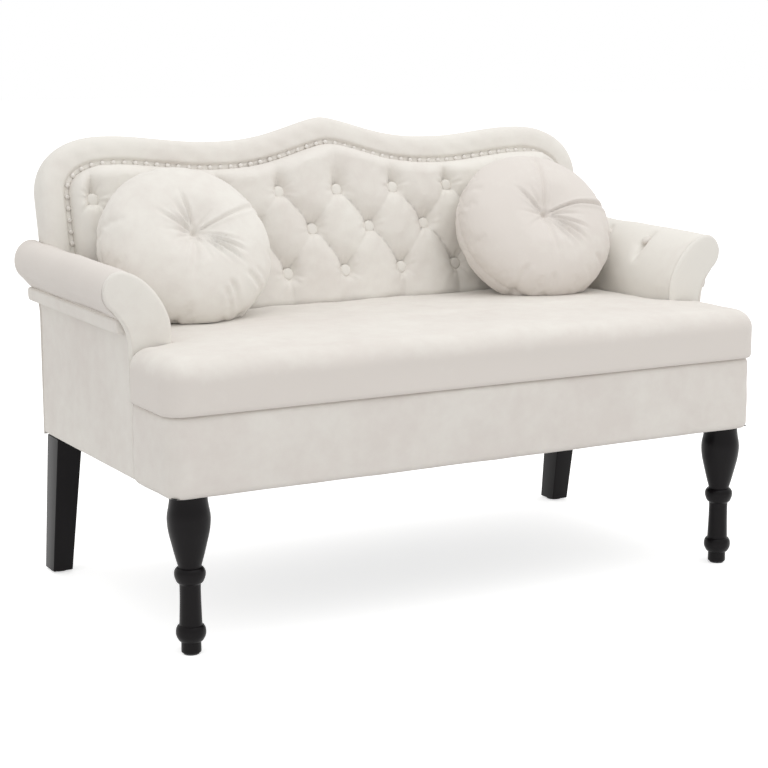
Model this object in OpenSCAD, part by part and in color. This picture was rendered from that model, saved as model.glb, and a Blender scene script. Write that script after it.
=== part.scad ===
/* [Base] */
// Depth of the upholstered base
base_d = 542; // [530:1:580]
// Height of the underside of the base above the floor
base_z = 238; // [200:1:300]
// Height of the seat deck, where the seam between base and seat runs
deck_z = 357; // [335:1:400]
// Radius of the front corners of the base
base_round = 27; // [20:1:45]
// Thickness of the padded cover over the frame
cover_t = 6; // [4:0.5:9]

/* [Seat] */
// Height of the middle of the seat
seat_z = 446; // [425:1:480]
// Width of the seat between the arms
seat_w = 926; // [800:2:1200]
// How far the seat cushion stands proud of the base
seat_bulge = 6; // [2:0.5:12]
// Radius of the cushion's upper edge
seat_round = 36; // [24:1:44]
// Rise of the seat from its edge to its middle
seat_crown = 5; // [2:0.5:12]
// Thickness of wadding and cover over the seat foam
seat_wad = 14; // [10:1:20]

/* [Arms] */
// Thickness of the arms over the base
arm_w = 67; // [63:1:72]
// Distance of the arm fronts behind the base front
arm_front = 143; // [120:1:180]
// Height of the arm roll at its front
arm_z = 550.5; // [530:0.5:600]
// Distance of the arm roll's crest outward from the arm's inner face
arm_lean = 77; // [60:1:90]
// Overhang of the arm roll past its crest
arm_head = 28.5; // [22:0.5:36]
// Height of the roll's widest line below its crest
arm_head_h = 31; // [24:0.5:38]
// Height of the straight inner face of the arm
arm_bend_z = 460; // [450:1:480]
// Height of the lip under the arm roll at its front
arm_lip_z = 480; // [470:1:490]
// Rise of the arm roll from front to back
arm_rise = 11; // [0:0.5:20]
// How far the arm roll runs past the base's back
arm_tail = 14; // [8:1:20]
// Padding of the arms over their frame
arm_pad_t = 12; // [9:0.5:14]
// Thickness of the arm facings
facing_t = 7; // [4:0.5:10]
// Height of the tack strips under the arm rolls
strip_h = 23; // [14:1:28]
// How far the tack strips stand out from the base's sides
strip_out = 17; // [15:1:20]
// Height over which the arm's outside curves out to the roll
flare_h = 55; // [40:1:70]
// Depth of the two sewn tufts on each arm
arm_tuft = 9; // [4:0.5:11]

/* [Back] */
// Lean of the back from upright, in degrees
back_tilt = 13.4; // [8:0.1:16]
// Distance of the tufted plane in front of the base's rear at deck height
back_depth = 97; // [92:1:107]
// Height of the centre peak, measured along the back
peak_h = 408.7; // [395:0.1:440]
// Height of the two dips
dip_h = 370.2; // [355:0.1:385]
// Height of the two humps
hump_h = 384; // [365:0.1:395]
// Distance of the dips from the middle
dip_x = 225; // [180:1:250]
// Width of the rounded shoulders
shoulder_w = 127; // [90:1:150]
// Drop of the rounded shoulders
shoulder_h = 100.7; // [80:0.1:115]
// How far the back's sides lie inside the base's sides
back_in = 1; // [1:0.5:6]
// Width of the padded border at the sides
border_side = 45; // [38:1:52]
// Width of the padded border along the top
border_top = 47; // [38:1:50]
// Thickness of the back board
board_t = 15; // [12:1:18]
// Thickness of the foam slab behind the tufted cover
slab_t = 18; // [12:1:24]

/* [Tufting] */
// Button spacing along a row
tuft_pitch = 112.2; // [90:0.2:125]
// Height of the lowest row of buttons along the back
row_low = 131.6; // [125:0.1:145]
// Gap from the lowest row to the middle row
row_gap_low = 75; // [60:0.5:80]
// Gap from the middle row to the top row
row_gap_top = 66.8; // [55:0.1:72]
// Height of the puffs over the buttons' plane
puff = 34; // [22:1:38]
// Diameter of the covered buttons
button_d = 19; // [14:0.5:22]

/* [Nails] */
// Spacing of the nail heads
nail_pitch = 19; // [14:0.5:30]
// Diameter of a nail head
nail_d = 9.6; // [7:0.1:10]

/* [Legs] */
// Distance of the front legs' axes in from the base's sides
leg_in = 40; // [36:1:50]
// Distance of the front legs' axes behind the base front
leg_back = 33; // [32:1:45]
// Largest radius of the turned front legs
leg_belly = 31.8; // [28:0.2:32]
// Radius of the front legs' feet
leg_foot = 14.6; // [13:0.2:18]
// Width of the rear legs at the top
rear_leg_w = 42.5; // [36:0.5:46]
// Depth of the rear legs at the top
rear_leg_d = 51; // [42:1:56]
// Rake of the rear legs' feet behind their tops
rear_rake = 33; // [15:1:45]
// Thickness of the glides under the feet
glide_t = 2.5; // [2:0.5:5]

/* [Round cushions] */
// Diameter of the round cushions
cushion_d = 284; // [240:2:300]
// Thickness of the round cushions at the full part
cushion_t = 136; // [110:2:140]
// Lean of the round cushions from upright, in degrees
cushion_lean = 35; // [30:0.5:40]
// How far a round cushion is pressed flat where it sits
cushion_squash = 16; // [8:1:22]
// Distance of the left cushion's centre from the left arm
cushion_left_in = 120; // [115:1:180]
// Distance of the right cushion's centre from the right arm
cushion_right_in = 134; // [125:1:180]
// Depth of the gathered centre of a round cushion
cushion_dimple = 19; // [10:1:24]
// Number of pleats round a cushion's centre
cushion_pleats = 8; // [6:1:10]

/* [Frame] */
// Thickness of the frame rails
rail_t = 18; // [16:1:22]
// Thickness of the seat deck
deck_t = 12; // [9:1:15]
// Width of the back stiles
stile_w = 30; // [25:1:40]
// Radius of the bolts
bolt_r = 4; // [3:0.5:5]
// Gap left between pieces that slip together
clear = 0.3; // [0.2:0.05:0.4]

/* [Hidden] */

cream = [0.90, 0.88, 0.85];
cream_shade = [0.85, 0.82, 0.79];
pearl = [0.93, 0.92, 0.90];
lacquer = [0.16, 0.14, 0.15];
raw_wood = [0.80, 0.66, 0.46];
ply = [0.72, 0.58, 0.40];
foam_white = [0.95, 0.93, 0.80];
zinc = [0.70, 0.71, 0.73];
lining = [0.20, 0.20, 0.21];

round_fn = 64;
half_w = seat_w / 2 + arm_w;
base_w = 2 * half_w;
back_w = base_w - 2 * back_in;
frame_x = half_w - cover_t;
frame_rear = base_d - cover_t;
back_foot = base_d - back_depth;
lining_t = 2;
frame_z = base_z + lining_t;
rail_h = deck_z - deck_t - frame_z;
inner_x = seat_w / 2;
arm_y = arm_front + facing_t;
arm_run = base_d - arm_y;

// Closed surface through rings of equal length, each counter-clockwise seen from the last ring's side.
// Its two ends are flat faces, or fans round the two hubs where these are given.
module skin(rings, hubs = []) {
    n = len(rings[0]);
    hub = len(rings) * n;
    top = hub - n;
    polyhedron(
        points = concat([for (r = rings) each r], hubs),
        faces = concat(
            hubs == [] ? [[for (i = [0:n - 1]) i], [for (i = [n - 1:-1:0]) top + i]]
                : [for (i = [0:n - 1]) let (j = (i + 1) % n)
                    each [[i, j, hub], [top + j, top + i, hub + 1]]],
            [for (k = [0:len(rings) - 2], i = [0:n - 1]) let (a = k * n + i, b = k * n + (i + 1) % n)
                each [[a, a + n, b + n], [a, b + n, b]]]));
}

function lerp(a, b, u) = a + (b - a) * u;
function smooth(u) = let (c = max(0, min(1, u))) c * c * (3 - 2 * c);
function arc(c, rx, rz, a0, a1, n) =
    [for (i = [0:n]) let (a = lerp(a0, a1, i / n)) [c[0] + rx * cos(a), c[1] + rz * sin(a)]];
function power_arc(c, rx, rz, p, n) =
    [for (i = [0:n]) let (a = 90 * i / n) [c[0] + rx * pow(cos(a), 2 / p), c[1] + rz * pow(sin(a), 2 / p)]];

// Lean of the back: a point along the back and out from the tufted plane, in the bench's own directions
function lean(x, s, t) = [x,
    back_foot + s * sin(back_tilt) - t * cos(back_tilt),
    deck_z + s * cos(back_tilt) + t * sin(back_tilt)];
module leaned() translate([0, back_foot, deck_z]) rotate([90 - back_tilt, 0, 0]) children();

// Camel outline of the back, taken inward by a share of the border's width
hump_x = back_w / 2 - shoulder_w;
shoulder_p = 2.35;
peak_p = 1.5;
peak_shares = [0.84, 0.67, 0.5, 0.34, 0.2, 0.09];
function crest(x) = let (a = abs(x))
    a < dip_x ? dip_h + (peak_h - dip_h) * pow(1 - pow(a / dip_x, peak_p), 3)
    : lerp(dip_h, hump_h, smooth((a - dip_x) / (hump_x - dip_x)));
function half_outline(q, low) = let (
    ds = q * border_side, dt = q * border_top, c = hump_h - shoulder_h,
    corner = power_arc([hump_x, c], shoulder_w - ds, shoulder_h - dt, shoulder_p, 7))
    concat(
        [for (i = [0:2]) [back_w / 2 - ds, lerp(low, c, i / 3)]],
        corner,
        [for (i = [1:4]) let (x = lerp(hump_x, dip_x, i / 4)) [x, crest(x) - dt]],
        [for (u = peak_shares) [dip_x * u, crest(dip_x * u) - dt]]);
function outline(q, low) = let (h = half_outline(q, low), n = len(h))
    concat(h, [[0, crest(0) - q * border_top]], [for (i = [n - 1:-1:0]) [-h[i][0], h[i][1]]]);

// Layers of the back, out from the plane of the buttons
cover_rear = -4;
slab_rear = cover_rear - slab_t;
board_rear = slab_rear - board_t;
cross_rail_t = 16;
border_rear = board_rear - cross_rail_t;
panel_t = 3;
back_low = 10;
nail_seat = cover_rear - 4;
roll_h = 4.5;
border_front = nail_seat + roll_h + clear;
pad_q = 1.125;
board_q = 0.16;
panel_q = 0.2;

// Arm section: inner face, leaning shoulder, rolled head and the neck under it
crest_x = inner_x + arm_lean;
neck_a = -55;
shoulder_power = 1.65;
function arm_section(d, tail) = let (
    c = [crest_x, arm_bend_z], h = [crest_x, arm_z - arm_head_h],
    hx = arm_head - d, hz = arm_head_h - d,
    neck = [h[0] + hx * cos(neck_a), h[1] + hz * sin(neck_a)],
    sweep = power_arc([0, 0], arm_lean - d, arm_z - arm_bend_z - d, shoulder_power, 8))
    concat(
        [[inner_x + d, deck_z]],
        [for (v = sweep) [c[0] - v[0], c[1] + v[1]]],
        arc(h, hx, hz, 72, 0, 4),
        [for (i = [1:3]) let (a = neck_a * i / 3) [h[0] + hx * cos(a), h[1] + hz * sin(a)]],
        tail);
lip_in = 3;
lip_x = crest_x + lip_in;
neck = [crest_x + arm_head * cos(neck_a), arm_z - arm_head_h + arm_head_h * sin(neck_a)];
flare_z = arm_lip_z - flare_h;
flare_p = 2.8;
function flare(z) = let (u = max(0, (z - flare_z) / (neck[1] - flare_z)))
    [half_w + (neck[0] - half_w) * pow(u, flare_p), z];
function flare_line(z0, z1, n) = [for (i = [0:n]) flare(lerp(z0, z1, i / n))];

function rise_at(y) = arm_rise * max(0, min(1, (y - arm_y) / arm_run));
function raised(z, y) = z + rise_at(y) * max(0, z - deck_z) / (arm_z - deck_z);

module at_frame() translate([0, shift_y, 0]) children();
module mirrored(side) if (side > 0) children(); else mirror([1, 0, 0]) children();

// Frame of the base, with its front corners rounded under the cover
frame_corner = base_round - cover_t;
module frame_plan(y0, y1) {
    translate([-frame_x + frame_corner, y0]) square([2 * (frame_x - frame_corner), y1 - y0]);
    translate([-frame_x, y0 + frame_corner]) square([2 * frame_x, y1 - y0 - frame_corner]);
    for (s = [-1, 1]) translate([s * (frame_x - frame_corner), y0 + frame_corner])
        circle(r = frame_corner, $fn = round_fn);
}

nut_r = 6.5;
nut_h = 16;
nut_wall = 5.5;
bolt_y = frame_rear - lining_t - 0.7 * rear_leg_d;
rear_bolt_x = frame_x - rail_t - nut_r - nut_wall;
leg_bolts = [for (s = [-1, 1]) each [[s * (half_w - leg_in), leg_back], [s * rear_bolt_x, bolt_y]]];
fit = 0.05;
block_h = 60;
block_leg = 90;
rear_block_leg = 48;
over = 1;

stile_in = 38;
stile_x = inner_x - stile_in;
stile_foot_s = 7;
stile_y = back_foot + stile_foot_s * sin(back_tilt) - board_rear * cos(back_tilt);
stile_past = 42;
stile_top = hump_h - shoulder_h + stile_past;
back_bolt_z = [for (h = [0.27, 0.74]) frame_z + h * rail_h];

module front_rail() color(raw_wood) at_frame() translate([0, 0, frame_z]) linear_extrude(rail_h)
    intersection() {
        frame_plan(cover_t, frame_rear);
        translate([-frame_x, cover_t]) square([2 * frame_x, rail_t]);
    }

module rear_rail() color(raw_wood) at_frame() difference() {
    translate([-frame_x, frame_rear - rail_t, frame_z]) cube([2 * frame_x, rail_t, rail_h]);
    for (s = [-1, 1], z = back_bolt_z)
        translate([s * stile_x, frame_rear - rail_t - over, z]) rotate([-90, 0, 0])
            cylinder(h = rail_t + 2 * over, r = bolt_r + fit, $fn = round_fn);
}

module side_rail(side) color(raw_wood) at_frame() mirrored(side) translate([0, 0, frame_z])
    linear_extrude(rail_h) intersection() {
        frame_plan(cover_t, frame_rear);
        translate([frame_x - rail_t, cover_t + rail_t]) square([rail_t, frame_rear - cover_t - 2 * rail_t]);
    }
module side_rail_left() side_rail(-1);
module side_rail_right() side_rail(1);

cross_x = base_w * 0.16;
cross_gap = 22;
cross_h = rail_h - cross_gap;
module cross_rails() color(raw_wood) at_frame() for (s = [-1, 1])
    translate([s * cross_x - rail_t / 2, cover_t + rail_t, frame_z + rail_h - cross_h])
        cube([rail_t, frame_rear - cover_t - 2 * rail_t, cross_h]);

module corner_block(points, bolt) difference() {
    translate([0, 0, frame_z]) linear_extrude(block_h) polygon(points);
    translate([bolt[0], bolt[1], frame_z]) {
        translate([0, 0, -over]) cylinder(h = nut_h + over, r = nut_r + fit, $fn = round_fn);
        cylinder(h = block_h + over, r = bolt_r + clear, $fn = round_fn);
    }
}
module corner_blocks() color(raw_wood) at_frame() for (s = [-1, 1]) mirrored(s) {
    x1 = frame_x - rail_t;
    y0 = cover_t + rail_t;
    y1 = frame_rear - rail_t;
    x0 = stile_x + stile_w / 2 + clear;
    corner_block([[x1, y0], [x1, y0 + block_leg], [x1 - block_leg, y0]], [half_w - leg_in, leg_back]);
    corner_block([[x1, y1], [x0, y1], [x0, y1 - rear_block_leg], [x1, y1 - block_leg]],
        [rear_bolt_x, bolt_y]);
}

arm_bolt_in = 12;
arm_bolt_x = frame_x - rail_t - arm_bolt_in;
front_board_y = arm_y;
board_w = 15;
board_past = 4;
rear_board_y = back_foot - clear - board_w + board_past;
arm_bolt_ys = [front_board_y + board_w / 2, rear_board_y + board_w / 2];
arm_bolt_r = 3;
deck_rear = stile_y - clear;
module seat_deck() color(ply) at_frame() difference() {
    translate([0, 0, deck_z - deck_t]) linear_extrude(deck_t) frame_plan(cover_t, deck_rear);
    for (s = [-1, 1], y = arm_bolt_ys)
        translate([s * arm_bolt_x, y, deck_z - deck_t - over])
            cylinder(h = deck_t + 2 * over, r = arm_bolt_r + fit, $fn = round_fn);
}

module dust_cover() color(lining) at_frame() translate([0, 0, base_z]) linear_extrude(lining_t)
    difference() {
        frame_plan(cover_t, frame_rear);
        for (b = leg_bolts) translate(b) circle(r = nut_r + over, $fn = round_fn);
    }

// Padded band round the front of the base, back to the arms
module border_plan() {
    translate([-half_w, base_round]) square([base_w, arm_front - base_round]);
    translate([-half_w + base_round, 0]) square([base_w - 2 * base_round, arm_front]);
    for (s = [-1, 1]) translate([s * (half_w - base_round), base_round])
        circle(r = base_round, $fn = round_fn);
}
module base_border() color(cream_shade) at_frame() translate([0, 0, base_z]) linear_extrude(deck_z - base_z)
    difference() {
        border_plan();
        frame_plan(cover_t, frame_rear);
    }

// Seat cushion: a T in plan, from the front of the base to the back pad
seat_gap = 0.5;
seat_rear_gap = 2;
seat_rear_s = (seat_z - deck_z - puff * sin(back_tilt)) / cos(back_tilt);
seat_rear = lean(0, seat_rear_s, puff)[1] - seat_rear_gap;
seat_side = inner_x - seat_gap;
seat_ear = arm_front - seat_gap;
inside_edge = 0.35;
ear_round = 12;
rear_round = 10;
crook_round = 1.5;
// Corners: place, inward directions of the two edges that meet there with their share of the edge's inset,
// radius, arc steps, whether hollow, steps along the edge that follows
function seat_corners() = let (w = half_w + seat_bulge, f = -seat_bulge, e = inside_edge)
    [[[w, f], [0, 1], [-1, 0], base_round + seat_bulge, 5, false, 2],
     [[w, seat_ear], [-1, 0], [0, -e], ear_round, 3, false, 1],
     [[seat_side, seat_ear], [0, -e], [-e, 0], crook_round, 2, true, 2],
     [[seat_side, seat_rear], [-e, 0], [0, -e], rear_round, 3, false, 7],
     [[-seat_side, seat_rear], [0, -e], [e, 0], rear_round, 3, false, 2],
     [[-seat_side, seat_ear], [e, 0], [0, -e], crook_round, 2, true, 1],
     [[-w, seat_ear], [0, -e], [1, 0], ear_round, 3, false, 2],
     [[-w, f], [1, 0], [0, 1], base_round + seat_bulge, 5, false, 9]];
function unit(v) = v / norm(v);
least_round = 4;
function corner_points(c, d) = let (
    u = unit(c[1]), v = unit(c[2]), p = c[0] + (c[1] + c[2]) * d, hollow = c[5], g = hollow ? 1 : -1,
    r = hollow ? c[3] : max(c[3] - d, least_round), o = p - (u + v) * r * g)
    [for (i = [0:c[4]]) let (a = 90 * i / c[4]) o + g * r * (u * cos(a) + v * sin(a))];
function seat_loop(d) = let (cs = seat_corners(), ps = [for (c = cs) corner_points(c, d)], n = len(cs))
    [for (k = [0:n - 1]) let (a = ps[k][len(ps[k]) - 1], b = ps[(k + 1) % n][0], m = cs[k][6])
        each concat(ps[k], [for (i = [1:1:m - 1]) lerp(a, b, i / m)])];
// The crown rises from the cushion's shoulder toward a flat middle
middle_x = 0.71 * inner_x;
middle_y0 = 0.7 * arm_front;
middle_y1 = lerp(arm_front, seat_rear, 0.55);
crown_end = 0.8;
function clamped(v, lo, hi) = max(lo, min(hi, v));
function seat_ring(d, z) = [for (p = seat_loop(d)) [p[0], p[1], z]];
function crown_ring(u) = [for (p = seat_loop(seat_round)) [
    lerp(p[0], clamped(p[0], -middle_x, middle_x), u),
    lerp(p[1], clamped(p[1], middle_y0, middle_y1), u),
    seat_z - seat_crown * pow(1 - u / crown_end, 2)]];
seat_shoulder = seat_z - seat_crown - seat_round;
foam_top = seat_z - seat_crown - seat_wad;
seam_in = 5;
seam_h = 7;
module seat_cover() color(cream) at_frame() skin(concat(
    [seat_ring(seat_wad, foam_top + clear), seat_ring(seat_wad, deck_z),
     seat_ring(seam_in, deck_z), seat_ring(seam_in / 6, deck_z + seam_h),
     seat_ring(0, lerp(deck_z, seat_shoulder, 0.75))],
    [for (a = [0, 30, 60, 90]) seat_ring(seat_round * (1 - cos(a)), seat_shoulder + seat_round * sin(a))],
    [crown_ring(0.35), crown_ring(crown_end)]),
    [[0, arm_front / 2, foam_top + clear], [0, arm_front, seat_z]]);

module seat_foam() color(foam_white) at_frame() translate([0, 0, deck_z]) linear_extrude(foam_top - deck_z)
    polygon(seat_loop(seat_wad + clear));

// Frame of the back
module stile(side) color(raw_wood) at_frame() difference() {
    top = lean(0, stile_top, board_rear);
    back_top = lean(0, stile_top, border_rear);
    bend_s = (frame_rear - back_foot + border_rear * cos(back_tilt)) / sin(back_tilt);
    translate([side * stile_x + stile_w / 2, 0, 0]) rotate([90, 0, -90]) mirror([1, 0, 0])
        linear_extrude(stile_w) polygon([
            [stile_y, frame_z], [frame_rear - rail_t, frame_z], [frame_rear - rail_t, deck_z - deck_t],
            [frame_rear, deck_z - deck_t], [frame_rear, lean(0, bend_s, border_rear)[2]],
            [back_top[1], back_top[2]], [top[1], top[2]], [stile_y, lean(0, stile_foot_s, board_rear)[2]]]);
    for (z = back_bolt_z) translate([side * stile_x, stile_y - over, z]) rotate([-90, 0, 0])
        cylinder(h = frame_rear - stile_y, r = bolt_r + fit, $fn = round_fn);
}
module back_stile_left() stile(-1);
module back_stile_right() stile(1);

back_rail_w = 45;
back_rail_low = 70;
module back_cross_rails() color(raw_wood) at_frame() leaned()
    for (s = [back_rail_low, stile_top - back_rail_w]) translate([-stile_x + stile_w / 2, s, border_rear])
        cube([2 * stile_x - stile_w, back_rail_w, cross_rail_t]);

module back_board() color(ply) at_frame() leaned() translate([0, 0, board_rear]) linear_extrude(board_t)
    polygon(outline(board_q, back_low));
module back_foam() color(foam_white) at_frame() leaned() translate([0, 0, slab_rear]) linear_extrude(slab_t)
    polygon(pad_outline(back_low));

// Tufted cover: the pad narrows with the arms, rises from its edge and dips to every button
row_mid = row_low + row_gap_low;
row_top = row_mid + row_gap_top;
half_pitch = tuft_pitch / 2;
pleat_rise = 0.4;
pad_low = 60;
pad_edge = 28;
edge_lift = 3;
function arm_inner(z) = z <= arm_bend_z ? inner_x : let (u = min(1, (z - arm_bend_z) / (arm_z - arm_bend_z)))
    crest_x - arm_lean * pow(1 - pow(u, shoulder_power), 1 / shoulder_power);
arm_gap = 1.5;
function pad_half(s) = let (
    w = back_w / 2 - pad_q * border_side, z = lean(0, s, 0)[2] - arm_rise, c = hump_h - shoulder_h,
    u = max(0, min(1, (s - c) / (shoulder_h - pad_q * border_top))), r = shoulder_w - pad_q * border_side,
    round_x = hump_x + r * pow(max(0, 1 - pow(u, shoulder_p)), 1 / shoulder_p))
    min(s > c ? round_x : w, arm_inner(z) - arm_gap);
function pad_outline(low) = concat(
    [for (i = [0:5]) let (s = lerp(low, row_top, i / 6)) [pad_half(s), s]],
    outline(pad_q, row_top),
    [for (i = [5:-1:0]) let (s = lerp(low, row_top, i / 6)) [-pad_half(s), s]]);
function tuft_wave(x, s) = let (
    xr = 180 * x / half_pitch,
    r = s > row_mid ? min(1, (s - row_mid) / row_gap_top) : max(-1, (s - row_mid) / row_gap_low),
    base = sqrt(abs(cos(180 * r + 180) - cos(xr)) / 2), ridge = pleat_rise * pow(sin(xr), 2))
    ridge + (1 - ridge) * base;
function edge_rise(e) = e >= pad_edge ? 1 : sqrt(max(0, 1 - pow(1 - max(0, e) / pad_edge, 2)));
// Columns and levels of the pad follow the buttons, so that each pleat lies on the grid's diagonals
half_steps = 3;
edge_in = 6;
pad_step = half_pitch / half_steps;
pad_cols = floor((back_w / 2 - pad_q * border_side - edge_in) / pad_step) + 1;
crowd = 4;
skirt_levels = [0, 8, 24, 48];
skirt_rows = len(skirt_levels);
pad_levels = concat(skirt_levels, [row_low - pad_low],
    [for (i = [1:half_steps]) row_low - pad_low + row_gap_low * i / half_steps],
    [for (i = [1:half_steps]) row_mid - pad_low + row_gap_top * i / half_steps]);
function pleat_falls(i, j) = let (
    turn = j < skirt_rows || j >= skirt_rows + half_steps ? 1 : 0,
    block = floor((i - pad_cols) / half_steps) + turn)
    abs(block) % 2 == 1;
pad_shares = [0.3, 0.56, 0.77, 0.92, 1];
fixed_rows = len(pad_levels) - 1;
pad_rows = fixed_rows + len(pad_shares);
function pad_point(i, j) = let (
    f = j > fixed_rows ? pad_shares[j - fixed_rows - 1] : 0,
    low = j > fixed_rows ? row_top : pad_low + pad_levels[j],
    hw = pad_half(lerp(low, hump_h - pad_q * border_top, f)), a = abs(i),
    x = sign(i) * (a == pad_cols ? hw : min(a * pad_step, hw - (pad_cols - a) * crowd)),
    cap = crest(x) - pad_q * border_top, s = lerp(low, cap, f),
    lift = edge_rise(min(hw - abs(x), cap - s, s - pad_low)), foot = cover_rear + edge_lift)
    [x, s, foot + lift * (puff * tuft_wave(x, s) - foot)];
module back_cover() color(cream) at_frame() leaned() {
    w = 2 * pad_cols + 1;
    nr = pad_rows;
    rim = concat([for (i = [0:w - 2]) [i, 0]], [for (j = [0:nr - 1]) [w - 1, j]],
        [for (i = [w - 1:-1:1]) [i, nr]], [for (j = [nr:-1:1]) [0, j]]);
    n = len(rim);
    back = w * (nr + 1);
    front_points = [for (j = [0:nr], i = [0:w - 1]) pad_point(i - pad_cols, j)];
    at = [for (c = rim) c[1] * w + c[0]];
    polyhedron(
        points = concat(front_points, [for (a = at) [front_points[a][0], front_points[a][1], cover_rear]],
            [[0, row_mid, cover_rear]]),
        faces = concat(
            [for (j = [0:nr - 1], i = [0:w - 2]) let (a = j * w + i)
                each (pleat_falls(i, j) ? [[a, a + w, a + 1], [a + w, a + w + 1, a + 1]]
                    : [[a, a + w, a + w + 1], [a, a + w + 1, a + 1]])],
            [for (k = [0:n - 1]) let (a = at[k], b = at[(k + 1) % n], c = back + k, d = back + (k + 1) % n)
                each [[a, b, d], [a, d, c]]],
            [for (k = [0:n - 1]) [back + n, back + k, back + (k + 1) % n]]));
}

// Padded border: its section is carried round the camel outline, from the nails over the roll to the rear.
// Its ends lie inside the arms, above the place where their outsides curve out past the back.
curve_out = pow((back_w / 2 + clear + cover_t - half_w) / (neck[0] - half_w), 1 / flare_p);
border_foot = lerp(flare_z, neck[1], curve_out);
border_low = (border_foot - deck_z - border_rear * sin(back_tilt)) / cos(back_tilt);
roll_edge = nail_seat - 15;
border_section = [[pad_q - 0.01, slab_rear], [pad_q - 0.01, nail_seat], [0.86, nail_seat],
    [0.70, nail_seat + roll_h * 0.67], [0.42, nail_seat + roll_h], [0.2, nail_seat + roll_h * 0.22],
    [0.06, lerp(nail_seat, roll_edge, 0.4)], [0, roll_edge],
    [0, lerp(board_rear, border_rear, 0.2)], [0.07, lerp(board_rear, border_rear, 0.75)],
    [panel_q, border_rear], [board_q - 0.01, board_rear + over], [board_q - 0.01, slab_rear]];
function border_rings() = let (
    loops = [for (q = border_section) outline(q[0], border_low)], n = len(loops[0]))
    [for (k = [0:n - 1]) [for (i = [0:len(border_section) - 1])
        lean(loops[i][k][0], loops[i][k][1], border_section[i][1])]];
border_points = [for (r = border_rings()) each r];
module back_border() color(cream) at_frame() skin(border_rings());

back_reach = max([for (p = border_points) p[1]]);
panel_reach = lean(0, crest(0) - panel_q * border_top, border_rear - panel_t)[1];
shift_y = (seat_bulge - max(back_reach, panel_reach)) / 2;

module back_outer_panel() color(cream_shade) at_frame() {
    low = (frame_rear - back_foot + border_rear * cos(back_tilt)) / sin(back_tilt) + over;
    top = lean(0, low, border_rear)[2] + panel_t;
    side = concat([[half_w, base_z]], flare_edge, [[half_w, flare_top], [half_w, top]]);
    other_side = [for (i = [len(side) - 1:-1:0]) [-side[i][0], side[i][1]]];
    difference() {
        along_arm(frame_rear, base_d) polygon(concat(side, other_side));
        leaned() translate([-half_w - over, back_low, border_rear])
            cube([base_w + 2 * over, peak_h, cross_rail_t]);
    }
    leaned() translate([0, 0, border_rear - panel_t]) linear_extrude(panel_t) polygon(outline(panel_q, low));
}

// Rows of buttons, the middle one shifted by half a pitch, as many as keep clear of the pad's sides
tuft_rows = [[row_top, 0], [row_mid, 0.5], [row_low, 0]];
tuft_margin = 20;
function row_half(r) = floor((pad_half(r[0]) - tuft_margin) / tuft_pitch + r[1]);
// Covered button: a cone that follows the cloth down to its stitch, an edge and a dome
stitch_r = 1.5;
button_edge = 1.5;
button_dome = 4.5;
button_seat_r = button_d / 2 - 1;
module domed_button(foot, seat_h) rotate_extrude($fn = 24) polygon(concat(
    [[0, foot], [stitch_r, foot], [button_seat_r, seat_h], [button_d / 2, seat_h + button_edge]],
    [for (a = [20, 45, 70]) [button_d / 2 * cos(a), seat_h + button_edge + button_dome * sin(a)]],
    [[0, seat_h + button_edge + button_dome]]));
module back_buttons() color(cream) at_frame() leaned() {
    slope = puff * tuft_wave(pad_step, row_low) / pad_step;
    for (r = tuft_rows, i = [-row_half(r):row_half(r) - 2 * r[1]])
        translate([(i + r[1]) * tuft_pitch, r[0], 0])
            domed_button(stitch_r * slope + clear, button_seat_r * slope + clear);
}

nail_line = outline(1, row_mid);
nail_steps = [for (i = [1:len(nail_line) - 1]) norm(nail_line[i] - nail_line[i - 1])];
function run_to(i) = i == 0 ? 0 : run_to(i - 1) + nail_steps[i - 1];
nail_runs = [for (i = [0:len(nail_steps)]) run_to(i)];
function along(d) = let (k = max([for (i = [0:len(nail_steps) - 1]) nail_runs[i] <= d ? i : 0]))
    lerp(nail_line[k], nail_line[k + 1], (d - nail_runs[k]) / nail_steps[k]);
module nail_trim() color(pearl) at_frame() leaned() {
    total = nail_runs[len(nail_runs) - 1];
    count = floor(total / nail_pitch);
    for (i = [0:count]) translate(concat(along(total * i / count), [nail_seat]))
        rotate_extrude($fn = 20) polygon(concat([[0, 0], [nail_d / 2, 0]],
            [for (a = [25, 50]) nail_d * [cos(a) / 2, sin(a) / 3]], [[0, nail_d / 3]]));
}

// Arms
far = 2 * base_d;
module behind_back(gap) leaned() translate([-half_w - clear, -far / 2, -far])
    cube([base_w + 2 * clear, 2 * far, far + border_front + gap]);
module along_arm(y0, y1) translate([0, y1, 0]) rotate([90, 0, 0]) linear_extrude(y1 - y0) children();
core_lip = 6;
core_x = lip_x - core_lip - over;
module arm_core(y0, y1, gap) along_arm(y0, y1) polygon(concat(
    arm_section(arm_pad_t + gap, [[core_x, arm_lip_z + core_lip], [frame_x - clear, arm_lip_z - core_lip]]),
    [[frame_x - clear, deck_z]]));
module pad_hollow(y0, y1) along_arm(y0, y1) polygon(concat(
    arm_section(arm_pad_t, [[core_x, arm_lip_z + core_lip], [frame_x + over, arm_lip_z - core_lip]]),
    [[frame_x + over, deck_z - over], [inner_x + arm_pad_t, deck_z - over]]));

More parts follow.
